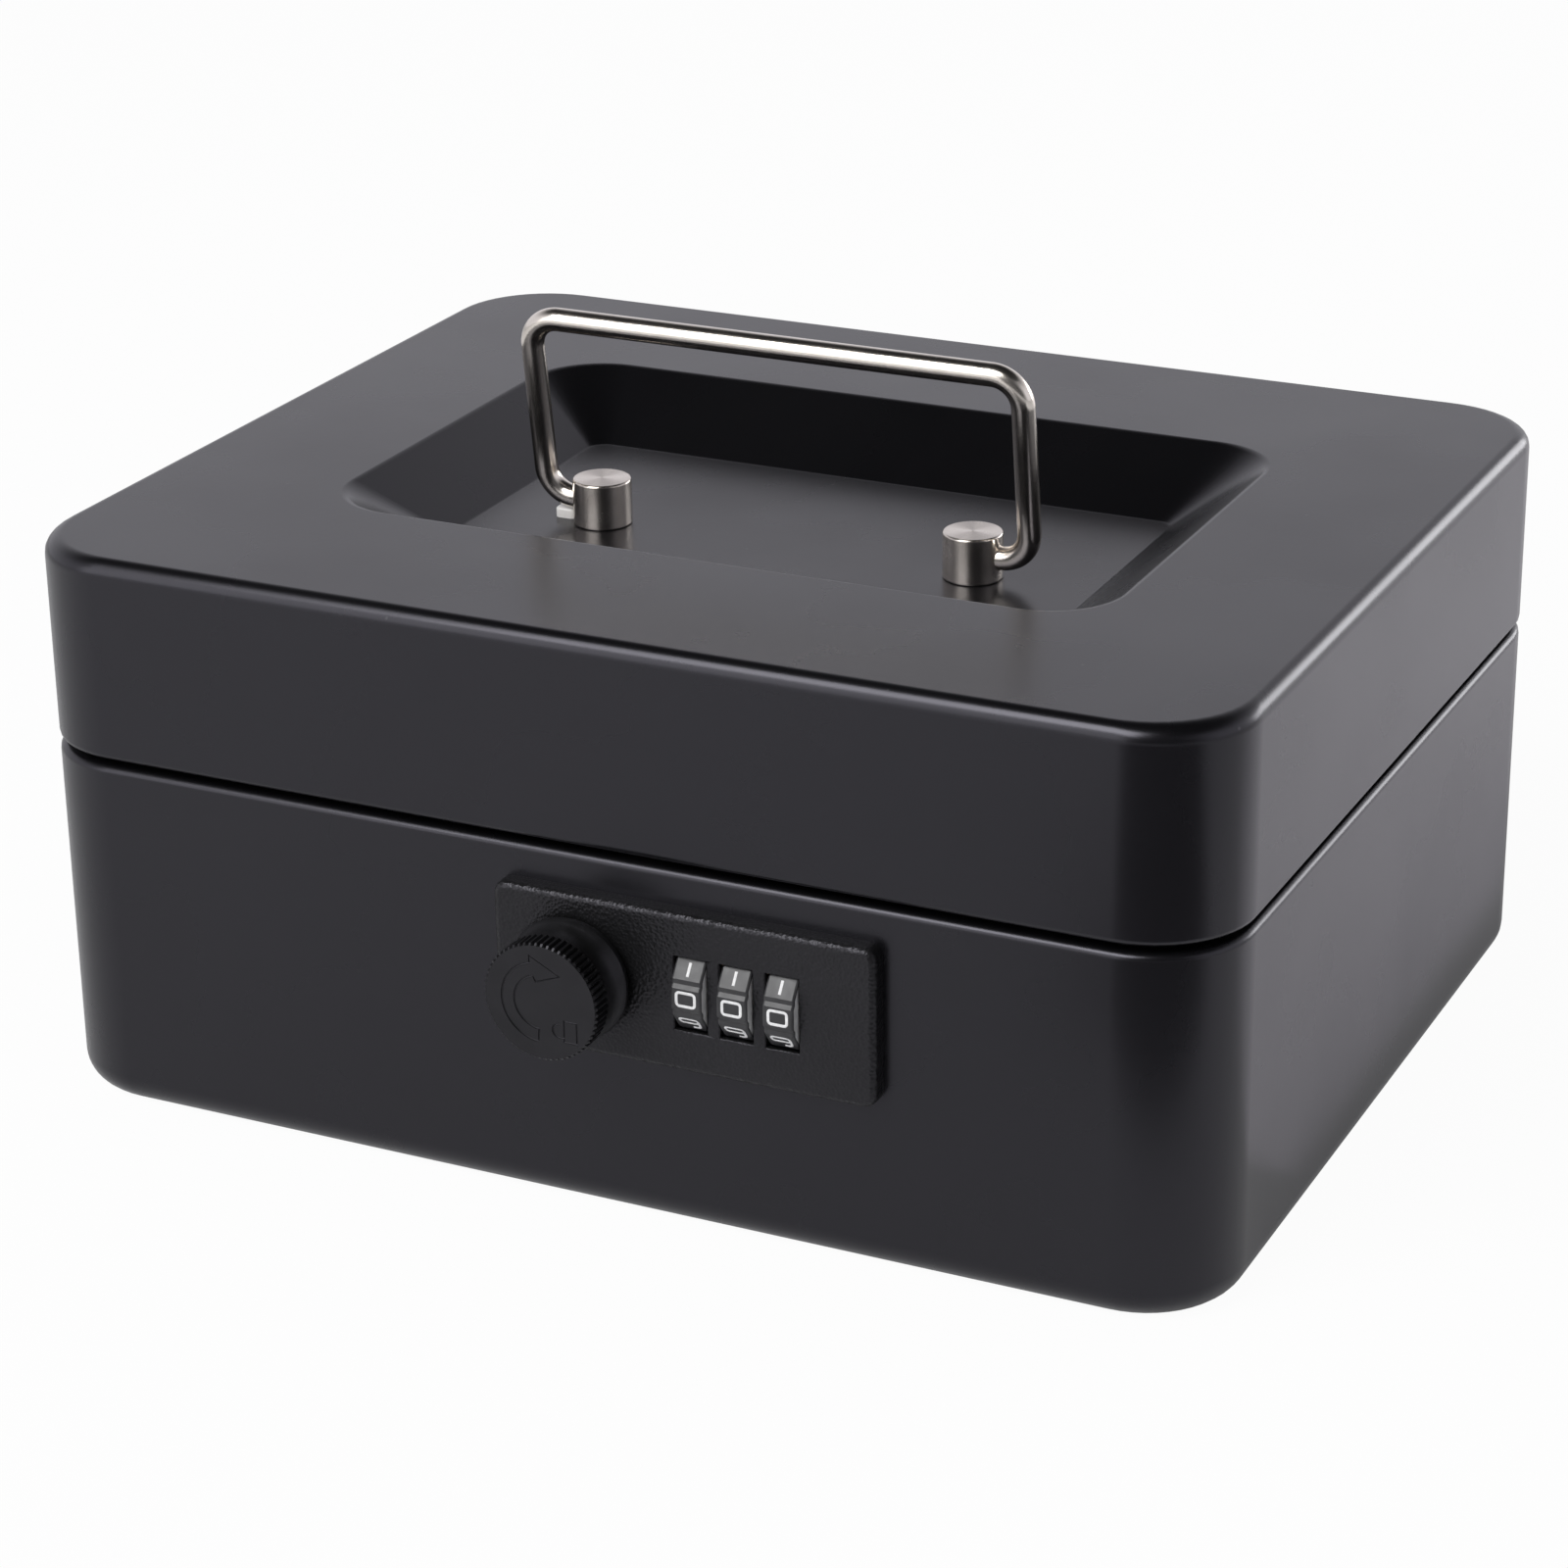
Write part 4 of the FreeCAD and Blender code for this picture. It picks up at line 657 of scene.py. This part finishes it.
def resize_ring(place, ratio):
    """Scales the selected ring of points about the knob's axis."""
    bpy.ops.transform.resize(value=(ratio, 1, ratio), center_override=(0, place * MM, LOCK_HEIGHT * MM))


def make_knob_plastic():
    """Black moulding, smoother than the plate, with a faint unevenness from the mould."""
    material, tree, shader, coords = new_finish("knob_black_plastic", (0.006, 0.006, 0.006), 0.0, 0.34, 0.36)
    uneven = clouds(tree, coords, 180.0, 4.0)
    vary_colour(tree, shader, uneven, (0.005, 0.005, 0.005), (0.008, 0.008, 0.0085))
    vary_dullness(tree, shader, uneven, 0.28, 0.38)
    shader.inputs["Specular Tint"].default_value = (0.92, 0.9, 1.0, 1)
    relief(tree, shader, clouds(tree, coords, 2600.0, 1.0), 0.006)
    return material


here, radius = KNOB_OUTLINE[0]
put_down()
bpy.ops.mesh.primitive_circle_add(
    vertices=3 * FLUTES, radius=radius * MM, fill_type="NGON",
    location=(0, here * MM, LOCK_HEIGHT * MM), rotation=(math.radians(90), 0, 0),
)
knob = settle(bpy.context.object, "turn_knob")
pick(knob, "EDGE", lambda *corners: True)
for place, new_radius in KNOB_OUTLINE[1:]:
    bpy.ops.mesh.extrude_region_move(TRANSFORM_OT_translate={"value": (0, (place - here) * MM, 0)})
    resize_ring(place, new_radius / radius)
    here, radius = place, new_radius
bpy.ops.mesh.edge_face_add()
for place in (KNOB_FACE + GRIP_EDGE, GRIP_BACK):
    pick(knob, "VERT", lambda c: abs(c.y - place) < NEAR and flute_bottom(c))
    resize_ring(place, FLUTE_RADIUS / GRIP_RADIUS)
bpy.ops.mesh.select_all(action="SELECT")
bpy.ops.mesh.remove_doubles(threshold=0.002 * MM)
bpy.ops.mesh.normals_make_consistent(inside=False)
arrow = [polar(ARROW_OUTSIDE, turn) for turn in range(104, 267, 6)]
arrow += [polar(ARROW_INSIDE, turn) for turn in range(266, 103, -6)]
arrow += ARROW_HEAD
bow = [polar(SHACKLE_RADIUS, turn) for turn in range(90, 271, 15)]
bow = [(SHACKLE_CENTRE[0] + x, SHACKLE_CENTRE[1] + z) for x, z in bow]
shackle = [SHACKLE_ENDS[0], *bow, SHACKLE_ENDS[1]]
signs = (("turn_arrow", arrow, True), ("open_padlock", PADLOCK, True), ("shackle", shackle, False))
for sign, line, closed in signs:
    groove = draw_stroke(sign, line, SIGN_WIDTH, closed)
    groove.location = (0, (KNOB_FACE - SIGN_LIFT) * MM, LOCK_HEIGHT * MM)
    carve(knob, settle(groove, sign))
smooth(knob, 25)
dress(knob, make_knob_plastic(), "knob", "lock_plastic", "knob")

# Dial wheels and their digits
# Three dark moulded wheels with ten flat faces, a shallow notch between each two and pale grey
# flanks. The digits are printed in white, one to a face, with the zeros at the front.
DIAL_AXIS = -77.2
DIAL_FACES = 10
DIAL_FACE_TURN = 36.0
DIAL_FLAT = 7.4
DIAL_WIDTH = 5.0
DIAL_EDGE = 0.35
DIAL_BORE = 3.05
NOTCH_HALF_WIDTH = 0.75
DIGIT_WIDTH = 0.46
DIGIT_RAISE = 0.05
DIGIT_BEND = 0.55
# Half width and half height of a digit, and the lines of each with whether they close
W, H = 1.5, 1.08
DIGITS = [
    [([(-W, -H), (-W, H), (W, H), (W, -H)], True)],
    [([(0, -H), (0, H)], False)],
    [([(-W, H), (W, H), (W, 0), (-W, 0), (-W, -H), (W, -H)], False)],
    [([(-W, H), (W, H), (W, -H), (-W, -H)], False), ([(-W * 0.5, 0), (W, 0)], False)],
    [([(-W, H), (-W, 0), (W, 0)], False), ([(W * 0.6, H), (W * 0.6, -H)], False)],
    [([(W, H), (-W, H), (-W, 0), (W, 0), (W, -H), (-W, -H)], False)],
    [([(W, H), (-W, H), (-W, -H), (W, -H), (W, 0), (-W, 0)], False)],
    [([(-W, H), (W, H), (-W * 0.2, -H)], False)],
    [([(-W, -H), (-W, H), (W, H), (W, -H)], True), ([(-W, 0), (W, 0)], False)],
    [([(-W, 0), (-W, H), (W, H), (W, 0)], True), ([(W, H * 0.4), (W, -H), (W * 0.2, -H)], False)],
]


def round_corners(points, reach, closed):
    """Cuts each corner of a line to a short curve."""
    count = len(points)
    line = []
    for i, (x, z) in enumerate(points):
        if not closed and i in (0, count - 1):
            line.append((x, z))
            continue
        ends = []
        for other in (points[i - 1], points[(i + 1) % count]):
            gap = math.dist((x, z), other)
            share = min(reach / gap, 0.5)
            ends.append((x + (other[0] - x) * share, z + (other[1] - z) * share))
        for t in (0, 0.25, 0.5, 0.75, 1):
            a, b, c = (1 - t) ** 2, 2 * t * (1 - t), t ** 2
            line.append(tuple(a * p + b * q + c * r for p, q, r in zip(ends[0], (x, z), ends[1])))
    return line


def make_dial_plastic():
    """Dark grey moulding, slightly glossy, with dull patches from handling."""
    material, tree, shader, coords = new_finish("dial_grey_plastic", (0.03, 0.03, 0.032), 0.0, 0.34)
    handled = clouds(tree, coords, 500.0, 4.0)
    vary_dullness(tree, shader, handled, 0.28, 0.42)
    vary_colour(tree, shader, handled, (0.022, 0.022, 0.024), (0.036, 0.036, 0.038))
    return material


def make_wheel_side():
    """Pale grey on the wheels' flanks, slightly blotchy."""
    material, tree, shader, coords = new_finish("pale_wheel_side", (0.6, 0.6, 0.6), 0.0, 0.5)
    scuffs = clouds(tree, coords, 700.0, 3.0)
    vary_colour(tree, shader, scuffs, (0.54, 0.54, 0.54), (0.66, 0.66, 0.66))
    vary_dullness(tree, shader, scuffs, 0.44, 0.58)
    return material


def make_white_ink():
    """White printing ink, a little uneven."""
    material, tree, shader, coords = new_finish("white_ink", (0.8, 0.8, 0.8), 0.0, 0.5)
    uneven = clouds(tree, coords, 1600.0, 3.0)
    vary_colour(tree, shader, uneven, (0.72, 0.72, 0.72), (0.86, 0.86, 0.86))
    vary_dullness(tree, shader, uneven, 0.42, 0.6)
    return material


def copy_to_dial(form, name, place):
    """Copy of a form made about the origin, on the axis of the dials."""
    copy = bpy.data.objects.new(name, form.data.copy())
    bpy.context.scene.collection.objects.link(copy)
    copy.location = (place * MM, DIAL_AXIS * MM, LOCK_HEIGHT * MM)
    return settle(copy, name)


dial_plastic = make_dial_plastic()
wheel_side = make_wheel_side()
white_ink = make_white_ink()
half_turn = math.radians(DIAL_FACE_TURN / 2)
wheel = rod("dial_wheel", (0, 0, 0), DIAL_FLAT / math.cos(half_turn), DIAL_WIDTH, (0, 90, 0), DIAL_FACES)
wheel.rotation_euler.x = half_turn
settle(wheel, "dial_wheel")
pick(wheel, "EDGE", along("x"))
bpy.ops.mesh.bevel(offset=NOTCH_HALF_WIDTH * MM, segments=2, profile=0.0, affect="EDGES")
pick(wheel, "EDGE", lambda a, b: abs(a.x - b.x) < NEAR and abs(a.x) > DIAL_WIDTH / 2 - NEAR)
ease(DIAL_EDGE, 2)
carve(wheel, rod("sleeve_bore", (0, 0, 0), DIAL_BORE, 2 * DIAL_WIDTH, (0, 90, 0), 40))
smooth(wheel, 12)
strokes = []
for digit, lines in enumerate(DIGITS):
    for points, closed in lines:
        stroke = draw_stroke("digit", round_corners(points, DIGIT_BEND, closed), DIGIT_WIDTH, closed)
        stroke.scale.y = 2 * DIGIT_RAISE / DIGIT_WIDTH
        bpy.ops.object.transform_apply(location=False, rotation=False, scale=True)
        stroke.data.transform(Matrix.Translation((0, -DIAL_FLAT * MM, 0)))
        stroke.rotation_euler.x = -math.radians(DIAL_FACE_TURN * digit)
        strokes.append(settle(stroke, "digit"))
digit_ring = strokes[0]
use(digit_ring)
for stroke in strokes:
    stroke.select_set(True)
bpy.ops.object.join()
smooth(digit_ring, 60)
for number, place in enumerate(DIAL_PLACES, start=1):
    dial = copy_to_dial(wheel, f"dial_{number}_wheel", place)
    dress(dial, dial_plastic, f"dial_{number}", "dial_plastic", f"dial_wheel_{number}")
    dial.data.materials.append(wheel_side)
    for face in dial.data.polygons:
        face.material_index = int(abs(face.normal.x) > 0.99)
    digits = copy_to_dial(digit_ring, f"dial_{number}_digits", place)
    dress(digits, white_ink, f"dial_{number}", "dial_plastic")
bpy.data.objects.remove(digit_ring)
bpy.data.objects.remove(wheel)

# Hinges
# Two hinges in the rear seam, each of two zinc-plated steel leaves rolled round one pin. One leaf is
# welded inside the tub's rear wall and the other inside the lid's.
PLATED_EDGE = 0.1


def make_zinc():
    """Zinc plating: pale bluish grey, cloudy, with fine brush marks."""
    material, tree, shader, coords = new_finish("zinc_plate", (0.5, 0.52, 0.54), 1.0, 0.35)
    cloudy = clouds(tree, coords, 240.0, 5.0)
    vary_dullness(tree, shader, cloudy, 0.28, 0.46)
    vary_colour(tree, shader, cloudy, (0.44, 0.46, 0.48), (0.58, 0.6, 0.62))
    relief(tree, shader, clouds(tree, coords, 1800.0, 2.0, (1, 0.1, 1)), 0.006)
    return material


def fit_inside(node, edge, material, body, slot):
    """Inner piece from its CAD node: triangles merged to faces, edges eased, finish and place given."""
    name = f"{node}_piece"
    piece = bpy.data.objects.new(name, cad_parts[node].data.copy())
    bpy.context.scene.collection.objects.link(piece)
    piece.data.name = name
    pick(piece, "FACE", lambda *corners: True)
    bpy.ops.mesh.remove_doubles(threshold=0.001 * MM)
    bpy.ops.mesh.dissolve_limited(angle_limit=math.radians(0.5))
    use(piece)
    soft = piece.modifiers.new("edges", "BEVEL")
    soft.width = edge * MM
    soft.segments = 2
    soft.limit_method = "ANGLE"
    soft.angle_limit = math.radians(40)
    bpy.ops.object.modifier_apply(modifier=soft.name)
    smooth(piece)
    dress(piece, material, body, slot, node)
    return piece


zinc = make_zinc()
for side in ("left", "right"):
    fit_inside(f"base_hinge_leaf_{side}", PLATED_EDGE, zinc, "base", "zinc_steel")
    fit_inside(f"lid_hinge_leaf_{side}", PLATED_EDGE, zinc, "lid", "zinc_steel")
    fit_inside(f"hinge_pin_{side}", PLATED_EDGE, zinc, "base", "zinc_steel")

# Strike
# Folded bracket of zinc-plated steel, fixed inside the lid's front wall. Its foot lies under the
# latch's claw when the box is locked.
fit_inside("lid_strike", PLATED_EDGE, zinc, "lid", "zinc_steel")

# Washers and nuts of the posts
# A washer and a hexagon nut of zinc-plated steel on each stud, under the dish. They draw the posts
# of the bail down onto the sheet.
for node in ("handle_washers", "handle_nuts"):
    fit_inside(node, PLATED_EDGE, zinc, "lid", "zinc_steel")

# Lock case
# Dark moulded housing behind the front wall, closed by a flat rear cover of the same plastic. The
# four lock screws hold both to the plate, with the wall between.
CASE_EDGE = 0.15


def make_inner_plastic(name, dark, pale):
    """Plain moulding with a fine eroded skin."""
    material, tree, shader, coords = new_finish(name, dark, 0.0, 0.5)
    cloudy = clouds(tree, coords, 90.0, 4.0)
    vary_colour(tree, shader, cloudy, dark, pale)
    vary_dullness(tree, shader, cloudy, 0.42, 0.56)
    relief(tree, shader, clouds(tree, coords, 1400.0, 2.0), 0.012)
    return material


case_plastic = make_inner_plastic("case_plastic", (0.02, 0.02, 0.021), (0.03, 0.03, 0.031))
for node in ("lock_housing", "lock_rear_cover"):
    fit_inside(node, CASE_EDGE, case_plastic, "base", "inner_plastic")

# Lock screws
# Four zinc-plated screws with cross recesses, driven from inside the box through the case into the
# plate's bosses.
LOCK_SCREW_FACE = -63.5
LOCK_SCREW_CROSS = 1.3
CROSS_HALF_WIDTH = 0.35
CROSS_DEPTH = 0.9
CROSS_CUT_PAST = 0.5


def cut_cross(screw, x, face, z, reach):
    """Cross recess for the driver, in a screw head that faces the inside of the box."""
    for wide, tall in ((reach, CROSS_HALF_WIDTH), (CROSS_HALF_WIDTH, reach)):
        low = (x - wide, face - CROSS_DEPTH, z - tall)
        high = (x + wide, face + CROSS_CUT_PAST, z + tall)
        carve(screw, block("driver_slot", low, high))


lock_screws = fit_inside("lock_screws", PLATED_EDGE, zinc, "base", "zinc_steel")
for x, z in BOSS_PLACES:
    cut_cross(lock_screws, x, LOCK_SCREW_FACE, z, LOCK_SCREW_CROSS)
smooth(lock_screws)

# Dial shaft
# Straight zinc-plated steel rod across the lock case, held in its side walls. The code sleeves and
# the dial wheels sit on it.
fit_inside("dial_shaft", PLATED_EDGE, zinc, "base", "zinc_steel")

# Code sleeves
# Turned brass sleeve in each dial wheel, with a notched disc beside the wheel. The fence can only
# pass when all three notches stand in line.
SLEEVE_EDGE = 0.05


def make_brass():
    """Turned brass, slightly tarnished in clouds."""
    material, tree, shader, coords = new_finish("turned_brass", (0.72, 0.52, 0.24), 1.0, 0.28)
    cloudy = clouds(tree, coords, 500.0, 4.0)
    vary_dullness(tree, shader, cloudy, 0.2, 0.38)
    vary_colour(tree, shader, cloudy, (0.66, 0.46, 0.2), (0.78, 0.58, 0.3))
    return material


brass = make_brass()
for number in (1, 2, 3):
    fit_inside(f"code_sleeve_{number}", SLEEVE_EDGE, brass, "base", "brass")

# Detent spring
# Strip of spring steel on the floor of the dial chamber. Its ridge clicks into the notches between
# the faces of the wheels.
SPRING_EDGE = 0.03


def make_spring_steel():
    """Hardened strip, blue-grey and cloudy from the heat."""
    material, tree, shader, coords = new_finish("spring_steel", (0.32, 0.33, 0.36), 1.0, 0.3)
    cloudy = clouds(tree, coords, 400.0, 4.0)
    vary_dullness(tree, shader, cloudy, 0.24, 0.4)
    vary_colour(tree, shader, cloudy, (0.26, 0.27, 0.31), (0.38, 0.39, 0.42))
    return material


spring_steel = make_spring_steel()
fit_inside("detent_spring", SPRING_EDGE, spring_steel, "base", "spring_steel")

# Fence
# Flat zinc-plated bar behind the dials, which slides to the right when the knob turns. Its teeth
# pass through the notches of the code discs.
FENCE_EDGE = 0.05
fit_inside("fence_slide", FENCE_EDGE, zinc, "fence", "zinc_steel")

# Spring of the fence
# Bent leaf of spring steel between the fence's right end and the end of its guide. It pushes the
# fence back, and is squeezed as the fence comes.
fence_spring = fit_inside("fence_spring", SPRING_EDGE, spring_steel, "base", "spring_steel")
low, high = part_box("fence_spring")
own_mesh(fence_spring)

# Spindle and latch
# Zinc-plated steel spindle from the knob through the lock case, with an eccentric for the fence. The
# latch cam sits on its square end, held by a washer and a screw with a cross recess.
LATCH_SCREW_FACE = -60.1
LATCH_SCREW_CROSS = 1.5
for node in ("knob_spindle", "latch_cam", "latch_washer"):
    fit_inside(node, PLATED_EDGE, zinc, "knob", "zinc_steel")
latch_screw = fit_inside("latch_screw", PLATED_EDGE, zinc, "knob", "zinc_steel")
cut_cross(latch_screw, 0, LATCH_SCREW_FACE, LOCK_HEIGHT, LATCH_SCREW_CROSS)
smooth(latch_screw)

# Code lever
# Small moulded slide in the rear of the lock case, of the case's plastic. Its tab comes through the
# rear cover and is pushed across to set a new code.
LEVER_EDGE = 0.1
fit_inside("code_lever", LEVER_EDGE, case_plastic, "code_lever", "inner_plastic")

# Coin tray
# Dark moulded tray that hangs in the tub by its rim, with scooped cups for coins behind and open bays
# in front. Three of its corners are filled, so that the wall is whole round the cups and the bay.
TRAY_EDGE = 0.3
TRAY_MIDDLE = 46.9
TRAY_CORNERS = ((-1, 1), (1, 1), (1, -1))
TRAY_CORNER_CENTRE = (83.0, 63.0)
TRAY_CORNER_RADIUS = 6.98
TRAY_CORNER_HEIGHT = 28.0
TRAY_INNER_CENTRE = (84.4, 64.4)
TRAY_INNER_RADIUS = 4.0
TRAY_CUT = 20.0

tray_plastic = make_inner_plastic("tray_plastic", (0.034, 0.034, 0.036), (0.046, 0.046, 0.048))
tray = fit_inside("coin_tray", TRAY_EDGE, tray_plastic, "tray", "tray_plastic")
cut_low, cut_high = TRAY_MIDDLE - TRAY_CUT, TRAY_MIDDLE + TRAY_CUT
for x_side, y_side in TRAY_CORNERS:
    x, y = x_side * TRAY_CORNER_CENTRE[0], y_side * TRAY_CORNER_CENTRE[1]
    inner_x, inner_y = x_side * TRAY_INNER_CENTRE[0], y_side * TRAY_INNER_CENTRE[1]
    left, right = sorted((inner_x, inner_x - x_side * TRAY_CUT))
    front, back = sorted((inner_y, inner_y - y_side * TRAY_CUT))
    corner = rod("tray_corner", (x, y, TRAY_MIDDLE), TRAY_CORNER_RADIUS, TRAY_CORNER_HEIGHT)
    carve(
        corner,
        rod("inner_round", (inner_x, inner_y, TRAY_MIDDLE), TRAY_INNER_RADIUS, 2 * TRAY_CUT),
        block("inner_side", (left, y - TRAY_CUT, cut_low), (right, y + TRAY_CUT, cut_high)),
        block("inner_side", (x - TRAY_CUT, front, cut_low), (x + TRAY_CUT, back, cut_high)),
    )
    corner.data.materials.clear()
    corner.data.materials.append(tray_plastic)
    join(tray, corner)
smooth(tray)

# Studio
# White table and white surroundings that darken overhead and behind the camera. Two cards on the table
# that only reflections show are painted reflections in the box's sides: a dark one of painted shade and a
# glowing white one of painted light. Soft boxes stand in front, low in front and behind on the right,
# and the camera is where the photograph was taken from.
CAMERA_PLACE = (276.09, -582.08, 310.31)
CAMERA_AZIMUTH, CAMERA_ELEVATION, CAMERA_ROLL = 25.78, 22.76, -0.79
CAMERA_LENS = 96.8
SENSOR_WIDTH = 36.0
CLIP_START = 0.01
TABLE_RADIUS = 6.0
TABLE_COLOUR = (0.8, 0.8, 0.81)
# How much of the table is plain white glow, for the camera and for reflections
TABLE_SEEN = 0.96
TABLE_REFLECTED = 0.25
# Brightness of the surroundings by height, and how they darken towards the camera's side
SKY = [(0.0, 0.92), (0.4, 0.88), (0.55, 0.55), (0.75, 0.02), (1.0, 0.01)]
SKY_TINT = (0.95, 0.94, 1.0)
CAMERA_SIDE = (0.435, -0.9, 0)
DARK_FROM, DARK_TO = 0.5, 0.85
DARK_SIDE = 0.1
CARD_HEIGHT = 2.0
# Glow colour of the reflection cards, then the corners of the dark card of painted shade and the white card of
# painted light
PAINTED_CARD_GLOW = (0.95, 0.91, 1.0)
PAINTED_SHADE_CARD = ((40, -175), (215, -85), (20, -800), (700, -420))
PAINTED_LIGHT_CARD = ((106, -30), (260, 30), (112, 900), (900, 1300))


def calculate(tree, operation, first, second):
    """Math node on an output and a fixed value."""
    node = tree.nodes.new("ShaderNodeMath")
    node.operation = operation
    tree.links.new(first, node.inputs[0])
    node.inputs[1].default_value = second
    return node


def make_white_table():
    """Matt white that glows to plain white for the camera, and in part for reflections."""
    material = bpy.data.materials.new("white_table")
    material.use_nodes = True
    tree = material.node_tree
    tree.nodes.clear()
    output = tree.nodes.new("ShaderNodeOutputMaterial")
    matt = tree.nodes.new("ShaderNodeBsdfDiffuse")
    matt.inputs["Color"].default_value = (*TABLE_COLOUR, 1)
    glow = tree.nodes.new("ShaderNodeEmission")
    glow.inputs["Color"].default_value = (1, 1, 1, 1)
    glow.inputs["Strength"].default_value = 1.0
    rays = tree.nodes.new("ShaderNodeLightPath")
    reflected = calculate(tree, "MAXIMUM", rays.outputs["Is Glossy Ray"], 0)
    tree.links.new(rays.outputs["Is Transmission Ray"], reflected.inputs[1])
    seen = calculate(tree, "MULTIPLY", rays.outputs["Is Camera Ray"], TABLE_SEEN)
    share = calculate(tree, "MULTIPLY_ADD", reflected.outputs[0], TABLE_REFLECTED)
    tree.links.new(seen.outputs[0], share.inputs[2])
    mix = tree.nodes.new("ShaderNodeMixShader")
    tree.links.new(share.outputs[0], mix.inputs[0])
    tree.links.new(matt.outputs[0], mix.inputs[1])
    tree.links.new(glow.outputs[0], mix.inputs[2])
    tree.links.new(mix.outputs[0], output.inputs["Surface"])
    return material


def lay_painted_reflection_card(name, corners, colour, glow):
    """Card on the table, out of the camera's sight, that only the reflections show: a painted reflection of
    shade or of light.
    """
    put_down()
    bpy.ops.mesh.primitive_plane_add(size=1, location=(0, 0, CARD_HEIGHT * MM))
    card = settle(bpy.context.object, name)
    for corner, (x, y) in zip(card.data.vertices, corners):
        corner.co.x, corner.co.y = x * MM, y * MM
    material = bpy.data.materials.new(name)
    material.use_nodes = True
    shader = material.node_tree.nodes["Principled BSDF"]
    shader.inputs["Base Color"].default_value = (colour, colour, colour, 1)
    shader.inputs["Roughness"].default_value = 1.0
    shader.inputs["Emission Color"].default_value = (*PAINTED_CARD_GLOW, 1)
    shader.inputs["Emission Strength"].default_value = glow
    card.data.materials.append(material)
    card.visible_camera = False
    card.visible_diffuse = False
    card.visible_shadow = False
    card.visible_transmission = False


def soft_box(name, place, aim, size, power):
    """Rectangular lamp that looks from its place at its aim, out of the camera's sight."""
    lamp = bpy.data.lights.new(name, "AREA")
    lamp.shape = "RECTANGLE"
    lamp.size, lamp.size_y = size
    lamp.energy = power
    box = bpy.data.objects.new(name, lamp)
    bpy.context.scene.collection.objects.link(box)
    box.location = place
    box.rotation_euler = (Vector(aim) - Vector(place)).to_track_quat("-Z", "Y").to_euler()
    box.visible_camera = False


lens = bpy.data.cameras.new("camera")
lens.lens = CAMERA_LENS
lens.sensor_width = SENSOR_WIDTH
lens.clip_start = CLIP_START
camera = bpy.data.objects.new("camera", lens)
bpy.context.scene.collection.objects.link(camera)
azimuth, elevation, roll = (math.radians(v) for v in (CAMERA_AZIMUTH, CAMERA_ELEVATION, CAMERA_ROLL))
back = Vector((
    math.sin(azimuth) * math.cos(elevation), -math.cos(azimuth) * math.cos(elevation), math.sin(elevation),
))
right = (-back).cross(Vector((0, 0, 1))).normalized()
up = right.cross(-back)
right, up = math.cos(roll) * right + math.sin(roll) * up, math.cos(roll) * up - math.sin(roll) * right
turned = Matrix((right, up, back)).transposed().to_4x4()
camera.matrix_world = Matrix.Translation(Vector(CAMERA_PLACE) * MM) @ turned
bpy.context.scene.camera = camera

put_down()
bpy.ops.mesh.primitive_circle_add(vertices=96, radius=TABLE_RADIUS, fill_type="NGON", location=(0, 0, 0))
table = settle(bpy.context.object, "table")
table.data.materials.append(make_white_table())

world = bpy.data.worlds.new("surroundings")
bpy.context.scene.world = world
world.use_nodes = True
tree = world.node_tree
sky = tree.nodes["Background"]
direction = tree.nodes.new("ShaderNodeTexCoord").outputs["Generated"]
parts = tree.nodes.new("ShaderNodeSeparateXYZ")
tree.links.new(direction, parts.inputs["Vector"])
shades = [(height, [value * part for part in SKY_TINT]) for height, value in SKY]
tree.links.new(tint(tree, parts.outputs["Z"], shades), sky.inputs["Color"])
towards_camera = tree.nodes.new("ShaderNodeVectorMath")
towards_camera.operation = "DOT_PRODUCT"
towards_camera.inputs[1].default_value = CAMERA_SIDE
tree.links.new(direction, towards_camera.inputs[0])
dark_side = spread(tree, towards_camera.outputs["Value"], 1.0, DARK_SIDE, DARK_FROM, DARK_TO)
tree.links.new(dark_side, sky.inputs["Strength"])

# Painted shade: a near-black card, seen only in reflections, that darkens the box's front right corner
lay_painted_reflection_card("painted_shade_reflection", PAINTED_SHADE_CARD, colour=0.02, glow=0.1)
# Painted light: a glowing white card, seen only in reflections, that brightens the box's right side
lay_painted_reflection_card("painted_light_reflection", PAINTED_LIGHT_CARD, colour=0.8, glow=0.45)
soft_box("front_light", place=(-0.31, -1.0, 1.14), aim=(0, 0, 0.06), size=(0.9, 0.75), power=16)
soft_box("low_front_light", place=(-0.67, -1.4, 0.47), aim=(0, 0, 0.08), size=(1.2, 0.75), power=4.2)
soft_box("rear_right_light", place=(0.76, 1.26, 0.3), aim=(0.1, 0, 0.08), size=(0.9, 0.45), power=6)

bpy.context.scene.view_settings.view_transform = "Standard"
